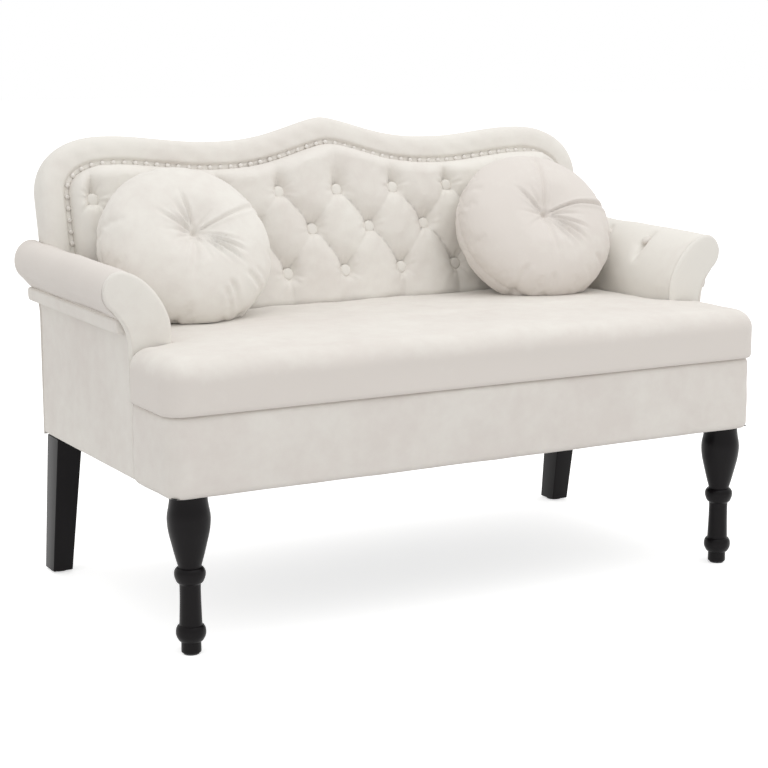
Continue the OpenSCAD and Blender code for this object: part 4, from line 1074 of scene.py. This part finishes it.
def tack_strip(arms):
    """The flat padded band under the roll: a rounded section that follows the roll's rise, closed in at its
    front end by a quarter round. Where the side flares out, its rear follows the side."""
    high, out, front, round_end = 0.0232, 0.0172, ARM_FRONT + 0.0035, 0.004
    corners = [
        (0.0, 0.0), (0.6 * out, 0.0003), (out - 0.002, 0.0016), (out, 0.006), (out + 0.0006, high * 0.6),
        (out - 0.0006, high - 0.002), (0.5 * out, high), (0.0, high),
    ]
    section = spline(corners, 5, closed=True)
    y = np.concatenate([
        front + round_end * (1 - np.cos(quarter(8))), np.linspace(ARM_FRONT + 0.010, BASE_REAR - 0.0002, 80),
    ])[:, None]
    share = 0.72 + 0.28 * np.maximum(rounding(y - front, round_end), 0.1414)
    ring = lerp(np.array([out / 2, high / 2]), section[None], share[..., None])
    z = raised(arms, arms.lip - high, y) + ring[..., 1] - 0.0003
    x = np.maximum(flare_x(arms, arms.lip - high + ring[..., 1]) - 0.004, HALF_W + ring[..., 0])
    points = grid(x, row_y(y), z)
    points[..., 0] += np.where(ring[..., 0] > 0.012, softness(points, 71, (0.0004, 0.05)), 0)
    return tube(points)


# Rear cover


def rear_cover(back, arms):
    """Cloth over the bench's rear: upright behind the base, then along the lean of the back up to its
    camel outline, as one grid whose edges are rounded over."""
    _, sin, cos = back_lean()
    bend = (BASE_REAR - back.foot + PANEL_REAR * cos) / sin
    x, s, width = camel_grid(back, PANEL_SHARE, bend, PANEL_LEVEL, across=220, straight=60, curved=46)
    upper = leaned(x, s, PANEL_REAR)
    z = np.linspace(BASE_LOW.z + 0.001, upper[0, 0, 2], 60)[:-1, None]
    lift = arms.rise / (arms.crest - DECK_Z)
    level = z - lift / (1 + lift) * np.clip(z - DECK_Z, 0, None)
    flare = np.minimum(flare_x(arms, level), arm_crest(arms) + 0.009)
    lower = grid(x[:1] / width[0] * flare, row_y(BASE_REAR), z)
    seen = np.vstack([lower, upper])
    aside = np.vstack([flare, width]) - np.abs(seen[..., 0])
    cap = np.vstack([np.ones(lower.shape[:2]), crest(back, x) - PANEL_SHARE * back.border_top - s])
    edge = np.minimum(np.minimum(aside, cap), seen[..., 2] - BASE_LOW.z)
    turn = 0.0040 * (1 - np.clip(edge / 0.006, 0, 1)) ** 2
    soft = softness(seen, 81, (0.0005, 0.22), (0.0002, 0.07)) * smooth(edge / 0.02)
    return shell(seen - grid(0, turn - soft, 0), seen - (0, 0.0062, 0))


# Round cushions


# Creases of a cushion: angle in its face, depth in mm, first and last share of the radius, bend in degrees,
# width in mm. Pinches of its seam: angle, depth in mm, width in mm.
LEFT_CREASES = (
    (97, 5.0, 0.07, 0.48, 6, 5), (118, 2.8, 0.08, 0.40, 0, 5), (149, 5.2, 0.07, 0.46, -4, 6),
    (137, 3.0, 0.08, 0.38, 0, 4), (17, 4.4, 0.10, 1.00, 7, 4), (42, 1.8, 0.08, 0.34, 0, 5),
    (-18, 3.2, 0.08, 0.52, -4, 4), (-31, 4.6, 0.08, 0.60, 3, 4), (-41, 4.2, 0.08, 0.64, 0, 4),
    (-53, 3.0, 0.08, 0.50, 0, 4), (-103, 3.4, 0.08, 0.66, -5, 9), (-78, 2.0, 0.08, 0.40, 0, 6),
    (-48, 4.4, 0.74, 1.00, 4, 5), (-62, 4.8, 0.70, 1.00, -6, 5), (-77, 4.2, 0.76, 1.00, 4, 5),
    (-36, 2.8, 0.80, 1.00, 0, 5), (-158, 1.8, 0.08, 0.32, 0, 5), (178, 2.0, 0.08, 0.36, 0, 5),
    (164, 2.6, 0.80, 1.00, 0, 7), (-128, 1.8, 0.08, 0.36, 4, 5),
)
LEFT_PINCHES = (
    (-110, 6.0, 4.0), (22, 5.0, 3.5), (166, 3.0, 6.0), (-48, 4.0, 5.0), (-64, 3.6, 5.0), (-78, 2.6, 5.0),
)
RIGHT_CREASES = (
    (16, 6.6, 0.06, 1.00, -8, 3.6), (82, 3.4, 0.10, 0.98, 2, 5), (132, 5.0, 0.07, 0.46, 4, 5),
    (141, 3.0, 0.10, 0.42, 0, 4), (112, 2.2, 0.08, 0.36, 2, 5), (-6, 2.6, 0.08, 0.46, -6, 4),
    (-28, 4.4, 0.08, 0.56, 3, 4), (-41, 4.4, 0.08, 0.60, 0, 4), (-53, 3.6, 0.08, 0.56, 0, 4),
    (-66, 3.2, 0.08, 0.50, 3, 4), (-92, 2.6, 0.08, 0.60, 4, 7), (178, 2.0, 0.06, 0.34, 0, 5),
    (-120, 4.6, 0.80, 1.00, 0, 5), (-98, 3.6, 0.82, 1.00, 4, 5), (-41, 3.4, 0.82, 1.00, -4, 5),
    (-60, 2.4, 0.84, 1.00, 0, 5), (-145, 1.8, 0.06, 0.36, 4, 5), (150, 2.4, 0.84, 1.00, 0, 6),
)
RIGHT_PINCHES = (
    (-120, 6.0, 4.5), (9, 5.0, 3.5), (84, 2.6, 4.0), (-98, 3.4, 5.0), (150, 2.6, 6.0), (-41, 2.8, 5.0),
)
GATHER = 0.20
LENS_POWER = 2.2
BACK_TURN = 40
CUSHION_SINK = 0.0020


def slack_cushion(look):
    """A round cushion before it is filled: a lens of power 2.2 with a bell-shaped gather at each centre."""
    a = (TAU * np.arange(180) / 180)[None]
    q = (np.sin(quarter(46)) ** 0.92)[:, None]
    high = look.thickness / 2 * superellipse(q, LENS_POWER) - look.dimple * bump(q, GATHER)
    r = look.diameter / 2 * q
    upper = grid(r * np.cos(a), r * np.sin(a), np.maximum(high, 0))
    return ball(np.vstack([upper, (upper * (1, 1, -1))[-2::-1]]))


def filled(part, voxel, pressure, growth, hold, cap):
    """The surface blown up as cloth: a slightly smaller, evenly meshed copy whose cloth grows by a small
    share while it is held at the weights of hold, for twenty frames without gravity. No point moves further
    than the cap, and one subdivision follows. Gives the points and faces of the filled cloth."""
    points, faces = part
    scene = bpy.context.scene
    mesh = bpy.data.meshes.new("slack")
    mesh.from_pydata(points * 0.985, [], [list(f) for group in faces for f in group.tolist()])
    cloth = placed("slack", mesh)
    remesh = cloth.modifiers.new("even", "REMESH")
    remesh.mode, remesh.voxel_size, remesh.use_smooth_shade = "VOXEL", voxel, True
    even = evaluated(cloth)
    cloth.modifiers.clear()
    cloth.data = even
    start = read(even.vertices, "co", 3)
    group = cloth.vertex_groups.new(name="held")
    held = np.round(hold(start), 2)
    for weight in np.unique(held[held > 0]):
        group.add(np.flatnonzero(held == weight).tolist(), float(weight), "REPLACE")
    sim = cloth.modifiers.new("cloth", "CLOTH")
    sim.settings.quality = 4
    sim.settings.use_pressure = True
    sim.settings.uniform_pressure_force = pressure
    sim.settings.shrink_min = -growth
    sim.settings.vertex_group_mass = "held"
    sim.settings.effector_weights.gravity = 0
    sim.settings.bending_stiffness = 0.6
    sim.collision_settings.use_collision = False
    sim.point_cache.frame_end = 20
    for step in range(1, 21):
        scene.frame_set(step)
    blown = evaluated(cloth)
    move = read(blown.vertices, "co", 3) - start
    far = np.linalg.norm(move, axis=1, keepdims=True)
    even.vertices.foreach_set("co", (start + move * np.minimum(1, cap / np.maximum(far, 1e-9))).ravel())
    scene.frame_set(1)
    cloth.modifiers.clear()
    cloth.modifiers.new("finer", "SUBSURF").levels = 1
    done = evaluated(cloth)
    end = read(done.vertices, "co", 3)
    sizes = read(done.polygons, "loop_total", kind=np.int32)
    corners = read(done.loops, "vertex_index", kind=np.int32)
    bpy.data.objects.remove(cloth)
    for spare in (mesh, even, blown, done):
        bpy.data.meshes.remove(spare)
    firsts = np.cumsum(sizes) - sizes
    return end, [corners[firsts[sizes == n][:, None] + np.arange(n)] for n in np.unique(sizes)]


def creased(look, points, creases, pinches, seed):
    """Creases and pinches pressed into a filled cushion. A crease is a bell across a line out of the gather
    that fades at both ends, with a low ridge at each side of it; a pinch draws the seam in. The rear face
    has the same creases, turned on by 40 degrees."""
    r = look.diameter / 2
    reach = np.linalg.norm(points[:, :2], axis=1)
    q, a = reach / r, np.arctan2(points[:, 1], points[:, 0])
    side = np.where(points[:, 2] > 0, 1.0, -1.0)

    def turn(at):
        return (a - np.radians(at) + math.pi) % TAU - math.pi

    sink = 0.0090 * bump(q, 0.036) + 0.0011 * np.cos(11 * a + seed) * bump(q - 0.09, 0.05)
    for at, deep, first, last, bend, wide in creases:
        way = turn(at + bend * q + np.where(side > 0, 0, BACK_TURN)) * r * np.maximum(q, 0.02)
        width = 0.001 * wide * (0.35 + 0.75 * q)
        fade = smooth((q - first + 0.04) / 0.08) * smooth((last + 0.10 - q) / 0.30)
        fold = bump(way, width) - 0.35 * bump(np.abs(way) - 2.1 * width, 1.2 * width)
        sink += 0.001 * deep * fade * fold
    moved = points.copy()
    moved[:, 2] -= side * sink * smooth(np.abs(points[:, 2]) / 0.012)
    seam = 0.0030 * bump(points[:, 2], 0.0035)
    for at, deep, wide in pinches:
        seam = seam + 0.001 * deep * bump(turn(at) * r, 0.0017 * wide) * bump(points[:, 2], 0.020)
    inward = points[:, :2] / np.maximum(reach, 1e-6)[:, None]
    moved[:, :2] -= inward * seam[:, None]
    moved += (0.0006 * ripple(moved, 0.05, seed))[:, None] * np.array([0, 0, 1]) * side[:, None]
    return moved


def cushion_hold(look):
    """How firmly each point is held: the gathers fully, the seam round the rim in part."""

    def hold(points):
        q = np.linalg.norm(points[:, :2], axis=1) / (look.diameter / 2)
        return np.maximum(1 - smooth((q - 0.03) / 0.05), 0.75 * bump(points[:, 2], 0.004) * (q > 0.8))

    return hold


def cushion_turn(look, yaw):
    """Rotation that leans a cushion's face up and round."""
    tip, cy, sy = math.pi / 2 - look.lean, math.cos(yaw), math.sin(yaw)
    lean = np.array([[1, 0, 0], [0, math.cos(tip), -math.sin(tip)], [0, math.sin(tip), math.cos(tip)]])
    return np.array([[cy, -sy, 0], [sy, cy, 0], [0, 0, 1]]) @ lean


# Legs


def turned_leg(count):
    """A turned front leg: collar, belly, two beads and a straight foot, each a smooth curve through its
    measured radii, turned round its axis."""
    top, foot = 0.2379, 0.0026
    belly = [
        (0.0275, 0.2375), (0.0280, 0.2300), (0.0293, 0.2210), (0.0312, 0.2110), (0.0318, 0.2020),
        (0.0309, 0.1900), (0.0290, 0.1790), (0.0254, 0.1640), (0.0212, 0.1470), (0.0174, 0.1335),
    ]
    upper_bead = [
        (0.0172, 0.1306), (0.0192, 0.1300), (0.0219, 0.1266), (0.0231, 0.1218), (0.0224, 0.1160),
        (0.0196, 0.1090), (0.0164, 0.1062),
    ]
    shaft = [(0.0157, 0.1045), (0.0155, 0.0950), (0.0158, 0.0760), (0.0164, 0.0560), (0.0168, 0.0450)]
    lower_bead = [
        (0.0172, 0.0438), (0.0192, 0.0428), (0.0214, 0.0388), (0.0222, 0.0330), (0.0213, 0.0272),
        (0.0180, 0.0210), (0.0150, 0.0192),
    ]
    end = [(0.0146, 0.0180), (0.0147, 0.0120), (0.0148, 0.0050), (0.0143, 0.0030), (0.0125, foot)]
    curves = [spline(part, 6) for part in (belly, upper_bead, shaft, lower_bead, end)]
    return lathe(np.vstack([[(0.0, top), (0.0268, top)], *curves, [(0.0, foot)]]), count)


def rear_leg(node):
    """A square tapered rear leg between the corners of its CAD solid, as a loft of rounded squares."""
    points = read(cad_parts[node].data.vertices, "co", 3)
    low, high = points[:, 2].min(), points[:, 2].max()
    ends = [points[np.abs(points[:, 2] - z) < 1e-4, :2] for z in (low, high)]
    r = bpy.context.scene.bench_legs.edge
    rings = []
    for u in (0.0, 0.004, 0.5, 0.996, 1.0):
        inset = r * 0.6 if u == 0 else 0.0
        least = lerp(ends[0].min(0), ends[1].min(0), u) + inset
        most = lerp(ends[0].max(0), ends[1].max(0), u) - inset
        corners = []
        for sx, sy, turn in ((1, 1, 0), (-1, 1, 1), (-1, -1, 2), (1, -1, 3)):
            centre = np.where((sx > 0, sy > 0), most - r, least + r)
            a = quarter(5) + turn * math.pi / 2
            corners.append(centre + r * np.column_stack([np.cos(a), np.sin(a)]))
        loop = np.vstack(corners)
        rings.append(np.column_stack([loop, np.full(len(loop), lerp(low, high, u))]))
    return tube(np.array(rings))


# Stage


CAMERA_PLACE = (-1.496, -2.6012, 0.860)
CAMERA_TURN = (math.pi / 2 - 0.1802, 0.0006, -0.5164)
LAMP_AIM = (0.0, 0.0, 0.45)
FLOOR_HALF = 30.0


# Operators


class BENCH_OT_seat(Operator):
    """Make the fixed seat cushion"""

    bl_idname = "bench.seat"
    bl_label = "Seat cushion"

    def execute(self, context):
        # Painted shade: the seat's front face, below 45 mm under its top, is darkened
        cloth = velvet(front=SEAT_HIGH.z - 0.045)
        part = seat_cushion(context.scene.bench_seat)
        piece("seat_cushion", part, cloth, nodes=("seat_cover", "seat_foam"))
        return {"FINISHED"}


class BENCH_OT_base_band(Operator):
    """Make the padded band round the base"""

    bl_idname = "bench.base_band"
    bl_label = "Base band"

    def execute(self, context):
        part = base_band(context.scene.bench_seat)
        # Painted shade: the band is a darker, warmer copy of the velvet
        piece("base_band", part, velvet(1.0, 0.25), nodes=("base_border",))
        return {"FINISHED"}


class BENCH_OT_tufted_back(Operator):
    """Make the diamond-tufted back pad"""

    bl_idname = "bench.tufted_back"
    bl_label = "Tufted back"

    def execute(self, context):
        part = tufted_pad(context.scene.bench_back, context.scene.bench_arms)
        # Painted light: the tufted pad is a lighter copy of the velvet
        piece("tufted_back", part, velvet(1.0, -0.2), nodes=("back_cover", "back_foam"))
        return {"FINISHED"}


class BENCH_OT_back_border(Operator):
    """Make the padded border round the back"""

    bl_idname = "bench.back_border"
    bl_label = "Back border"

    def execute(self, context):
        part = padded_border(context.scene.bench_back)
        # Painted light: the border is a lighter copy of the velvet
        piece("padded_border", part, velvet(1.0, -0.3), nodes=("back_border",))
        return {"FINISHED"}


class BENCH_OT_buttons(Operator):
    """Make the covered buttons of the back and the arms"""

    bl_idname = "bench.buttons"
    bl_label = "Covered buttons"

    def execute(self, context):
        back = context.scene.bench_back
        on_back = repeated(covered_button(back.button), turned_places(button_rows(back), BUTTON_SEAT))
        # Painted highlight: the back's buttons are a much lighter copy of the velvet
        piece("covered_buttons", on_back, velvet(1.7, -0.6), nodes=("back_buttons",))
        small = covered_button(back.button * 0.8)
        for side in SIDES:
            low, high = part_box(f"arm_buttons_{side}")
            x, heights = max(high.x, -low.x) - 0.0005, (low.z - 0.0010, low.z + 0.0025)
            places = np.tile(np.eye(4), (2, 1, 1))
            places[:, :3, :3] = ARM_BUTTON_AXES
            places[:, :3, 3] = [(x, row_y(y), z) for y, z in zip(tuft_depths(), heights)]
            part = on_side(repeated(small, places), side)
            piece(f"arm_tuft_buttons_{side}", part, velvet(1.7), nodes=(f"arm_buttons_{side}",))
        return {"FINISHED"}


class BENCH_OT_nails(Operator):
    """Make the line of pearl nail heads"""

    bl_idname = "bench.nails"
    bl_label = "Pearl nails"

    def execute(self, context):
        back = context.scene.bench_back
        part = repeated(nail_head(back.nail), nail_places(back))
        pearl = plain("pearl_shell", tuple(context.scene.bench_finish.pearl), 0.28, coat=0.5)
        piece("pearl_nails", part, pearl, nodes=("nail_trim",), sharp=50)
        return {"FINISHED"}


class BENCH_OT_arms(Operator):
    """Make both arms: roll, facing, welts, side panel and tack strip"""

    bl_idname = "bench.arms"
    bl_label = "Arms"

    def execute(self, context):
        arms = context.scene.bench_arms
        # Each part: its surface, CAD node, fill, sharp angle, and its painted light and shade, right and
        # left: a shift of the velvet that is lighter below 0 and darker above
        parts = {
            # Painted light on the right roll's inner face and painted shade on the left roll; painted light
            # on both facings and both welts
            "arm_roll": (arm_roll(arms), "arm_pad", 0.9, 60, (-0.6, 0.9)),
            "arm_front": (arm_facing(arms), "arm_facing", 1.0, None, (-0.9, -0.3)),
            "arm_welt": (arm_welt(arms), None, None, None, (-0.4, -0.4)),
            "arm_side": (side_panel(arms), "arm_outer_panel", 1.0, 60, (0.0, 0.0)),
            "tack_band": (tack_strip(arms), "arm_tack_strip", 1.0, 60, (0.0, 0.0)),
        }
        for name, (part, node, fill, sharp, light_and_shade_shift) in parts.items():
            for side, share in zip(SIDES, light_and_shade_shift):
                nodes = (f"{node}_{side}",) if node else ()
                cloth = velvet(1.0, share)
                piece(f"{name}_{side}", on_side(part, side), cloth, nodes=nodes, sharp=sharp)
        return {"FINISHED"}


class BENCH_OT_rear_cover(Operator):
    """Make the cloth over the bench's rear"""

    bl_idname = "bench.rear_cover"
    bl_label = "Rear cover"

    def execute(self, context):
        part = rear_cover(context.scene.bench_back, context.scene.bench_arms)
        piece("rear_cover", part, velvet(), nodes=("back_outer_panel",))
        return {"FINISHED"}


class BENCH_OT_cushions(Operator):
    """Make the two loose round cushions, whose feet lie flat on the seat"""

    bl_idname = "bench.cushions"
    bl_label = "Round cushions"

    def execute(self, context):
        look = context.scene.bench_cushions
        slack = slack_cushion(look)
        full, faces = filled(
            slack, voxel=0.0045, pressure=4.0, growth=0.03, hold=cushion_hold(look), cap=0.012
        )
        full *= np.array([look.diameter, look.diameter, look.thickness]) / 2 / np.abs(full).max(0)
        # The last number of each cushion paints light or shade: the left cushion lighter, the right darker
        # and warmer
        for side, yaw, creases, pinches, seed, light_and_shade_shift in (
            ("left", -2.1, LEFT_CREASES, LEFT_PINCHES, 91, -0.2),
            ("right", -8.2, RIGHT_CREASES, RIGHT_PINCHES, 95, 0.58),
        ):
            low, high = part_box(f"cushion_cover_{side}")
            points = creased(look, full, creases, pinches, seed) @ cushion_turn(look, math.radians(yaw)).T
            points += ((low.x + high.x) / 2, (low.y + high.y) / 2, high.z - points[:, 2].max())
            points[:, 2] = np.maximum(points[:, 2], SEAT_HIGH.z - CUSHION_SINK)
            nodes = tuple(f"cushion_{kind}_{side}" for kind in ("cover", "filling", "buttons"))
            piece(
                f"round_cushion_{side}", (points, faces), velvet(1.25, light_and_shade_shift), body=f"cushion_{side}",
                nodes=nodes,
            )
        return {"FINISHED"}


class BENCH_OT_legs(Operator):
    """Make the turned front legs and the tapered rear legs"""

    bl_idname = "bench.legs"
    bl_label = "Legs"

    def execute(self, context):
        legs = context.scene.bench_legs
        tint = tuple(context.scene.bench_finish.lacquer)
        lacquer = wooden(
            "black_lacquer", tint, depth=0.25, roughness=0.36, coat=0.05, gloss=0.12, stretch=(12, 12, 1)
        )
        points, faces = turned_leg(legs.facets)
        for side, sign in SIDES.items():
            front = points + (sign * (HALF_W - legs.inset), row_y(legs.setback), 0), faces
            rear = rear_leg(f"rear_leg_{side}")
            for name, part, node in (("turned_leg", front, "front_leg"), ("tapered_leg", rear, "rear_leg")):
                piece(f"{name}_{side}", part, lacquer, nodes=(f"{node}_{side}",), sharp=35)
        return {"FINISHED"}


class BENCH_OT_underside(Operator):
    """Make the lining cloth under the base"""

    bl_idname = "bench.underside"
    bl_label = "Underside"

    def execute(self, context):
        low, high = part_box("dust_cover")
        u, v = np.linspace(0, 1, 90)[None], np.linspace(0, 1, 50)[:, None]
        sag = 0.0009 * np.sin(math.pi * u) * np.sin(math.pi * v)
        under = grid(lerp(low.x, high.x, u), lerp(low.y, high.y, v), low.z + 0.0012 - sag)
        part = shell(under, under + (0, 0, 0.0006))
        cloth = plain("dark_lining", tuple(context.scene.bench_finish.lining), 0.85)
        made = piece("dust_cloth", part, cloth, nodes=("dust_cover",), sharp=40)
        return {"FINISHED"}


class BENCH_OT_frame_finish(Operator):
    """Give the hidden frame, bolts and glides their finishes"""

    bl_idname = "bench.frame_finish"
    bl_label = "Frame finishes"

    def execute(self, context):
        wood = tuple(context.scene.bench_finish.wood)
        darker = tuple(0.85 * c for c in wood)
        plywood = wooden("frame_plywood", darker, 0.5, 0.75, coat=0.0, gloss=0.4, stretch=(1, 12, 40))
        pine = wooden("frame_pine", wood, 0.6, 0.7, coat=0.0, gloss=0.4, stretch=(1, 12, 12))
        finishes = {
            ("seat_deck", "board"): plywood,
            ("bolts", "nuts"): plain("zinc_plate", (0.62, 0.63, 0.65), 0.38, metallic=1.0),
            ("glides",): plain("glide_plastic", (0.05, 0.05, 0.055), 0.5),
            ("rail", "stile", "blocks"): pine,
        }
        for name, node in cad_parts.items():
            kinds = [finish for words, finish in finishes.items() if any(word in name for word in words)]
            if kinds and not node.hide_render:
                node.data.materials.clear()
                node.data.materials.append(kinds[0])
        return {"FINISHED"}


class BENCH_OT_stage(Operator):
    """Set the pale floor, the soft studio light and the photograph's camera"""

    bl_idname = "bench.stage"
    bl_label = "Stage"

    def execute(self, context):
        scene, look = context.scene, context.scene.bench_stage
        scene.view_settings.view_transform = "Standard"
        camera = bpy.data.cameras.new("photo_camera")
        camera.lens, camera.sensor_width = look.lens, 36
        camera.clip_start, camera.clip_end = 0.1, 60
        scene.camera = placed("photo_camera", camera)
        scene.camera.location, scene.camera.rotation_euler = CAMERA_PLACE, CAMERA_TURN
        self.lamp("overhead", (0.35, -0.60, 2.7), (3.2, 2.4), look.key)
        self.lamp("front_right", (1.3, -2.9, 1.7), (1.8, 1.8), look.side)
        self.surround(scene, look.sky)
        self.floor()
        return {"FINISHED"}

    def lamp(self, name, place, size, power):
        """A rectangular soft lamp that faces the middle of the bench."""
        data = bpy.data.lights.new(name, "AREA")
        data.shape, data.size, data.size_y, data.energy = "RECTANGLE", *size, power
        made = placed(name, data)
        made.location = place
        x, y, z = np.array(LAMP_AIM) - place
        made.rotation_euler = (math.acos(-z / math.hypot(x, y, z)), 0, math.atan2(-x, y))

    def surround(self, scene, strength):
        """A pale surround that the camera, gloss and glass see as white."""
        scene.world = bpy.data.worlds.new("pale_surround")
        scene.world.use_nodes = True
        tree = scene.world.node_tree
        tree.nodes.clear()
        soft = add_node(tree, "Background", {"Color": (1.0, 0.995, 0.985, 1), "Strength": strength})
        white = add_node(tree, "Background", {"Color": (1, 1, 1, 1), "Strength": 1.0})
        mix = add_node(tree, "MixShader", {0: seen_directly(tree), 1: soft.outputs[0], 2: white.outputs[0]})
        add_node(tree, "OutputWorld", {"Surface": mix.outputs[0]})

    def floor(self):
        """A wide pale floor that keeps the bench's shadow; seen directly it is lifted to white."""
        mesh = bpy.data.meshes.new("floor")
        corners = [(x * FLOOR_HALF, y * FLOOR_HALF, 0) for x, y in ((-1, -1), (1, -1), (1, 1), (-1, 1))]
        mesh.from_pydata(corners, [], [(0, 1, 2, 3)])
        floor = placed("floor", mesh)
        material, tree, shader = new_material("pale_floor")
        lifted = math_node(tree, "MULTIPLY", seen_directly(tree), 0.60)
        wire(tree, shader, {
            "Base Color": (0.80, 0.80, 0.80, 1), "Roughness": 0.9, "Specular IOR Level": 0.0,
            "Emission Color": (1, 1, 1, 1), "Emission Strength": lifted,
        })
        mesh.materials.append(material)


PIECES = (
    BENCH_OT_seat,
    BENCH_OT_base_band,
    BENCH_OT_tufted_back,
    BENCH_OT_back_border,
    BENCH_OT_buttons,
    BENCH_OT_nails,
    BENCH_OT_arms,
    BENCH_OT_rear_cover,
    BENCH_OT_cushions,
    BENCH_OT_legs,
    BENCH_OT_underside,
    BENCH_OT_frame_finish,
    BENCH_OT_stage,
)


class BENCH_PT_panel(Panel):
    """Pieces of the bench and their sizes"""

    bl_idname = "BENCH_PT_panel"
    bl_label = "Camelback bench"
    bl_space_type = "VIEW_3D"
    bl_region_type = "UI"
    bl_category = "Bench"

    def draw(self, context):
        for operator in PIECES:
            self.layout.operator(operator.bl_idname)
        for name, group in GROUPS.items():
            box = self.layout.box()
            box.label(text=group.__name__)
            for size in group.__annotations__:
                box.prop(getattr(context.scene, name), size)


def register():
    for kind in (*GROUPS.values(), *PIECES, BENCH_PT_panel):
        bpy.utils.register_class(kind)
    for name, group in GROUPS.items():
        setattr(bpy.types.Scene, name, PointerProperty(type=group))


def unregister():
    for name in GROUPS:
        delattr(bpy.types.Scene, name)
    for kind in reversed((*GROUPS.values(), *PIECES, BENCH_PT_panel)):
        bpy.utils.unregister_class(kind)


def main():
    register()
    for operator in PIECES:
        group, name = operator.bl_idname.split(".")
        getattr(getattr(bpy.ops, group), name)()


if __name__ == "__main__":
    main()
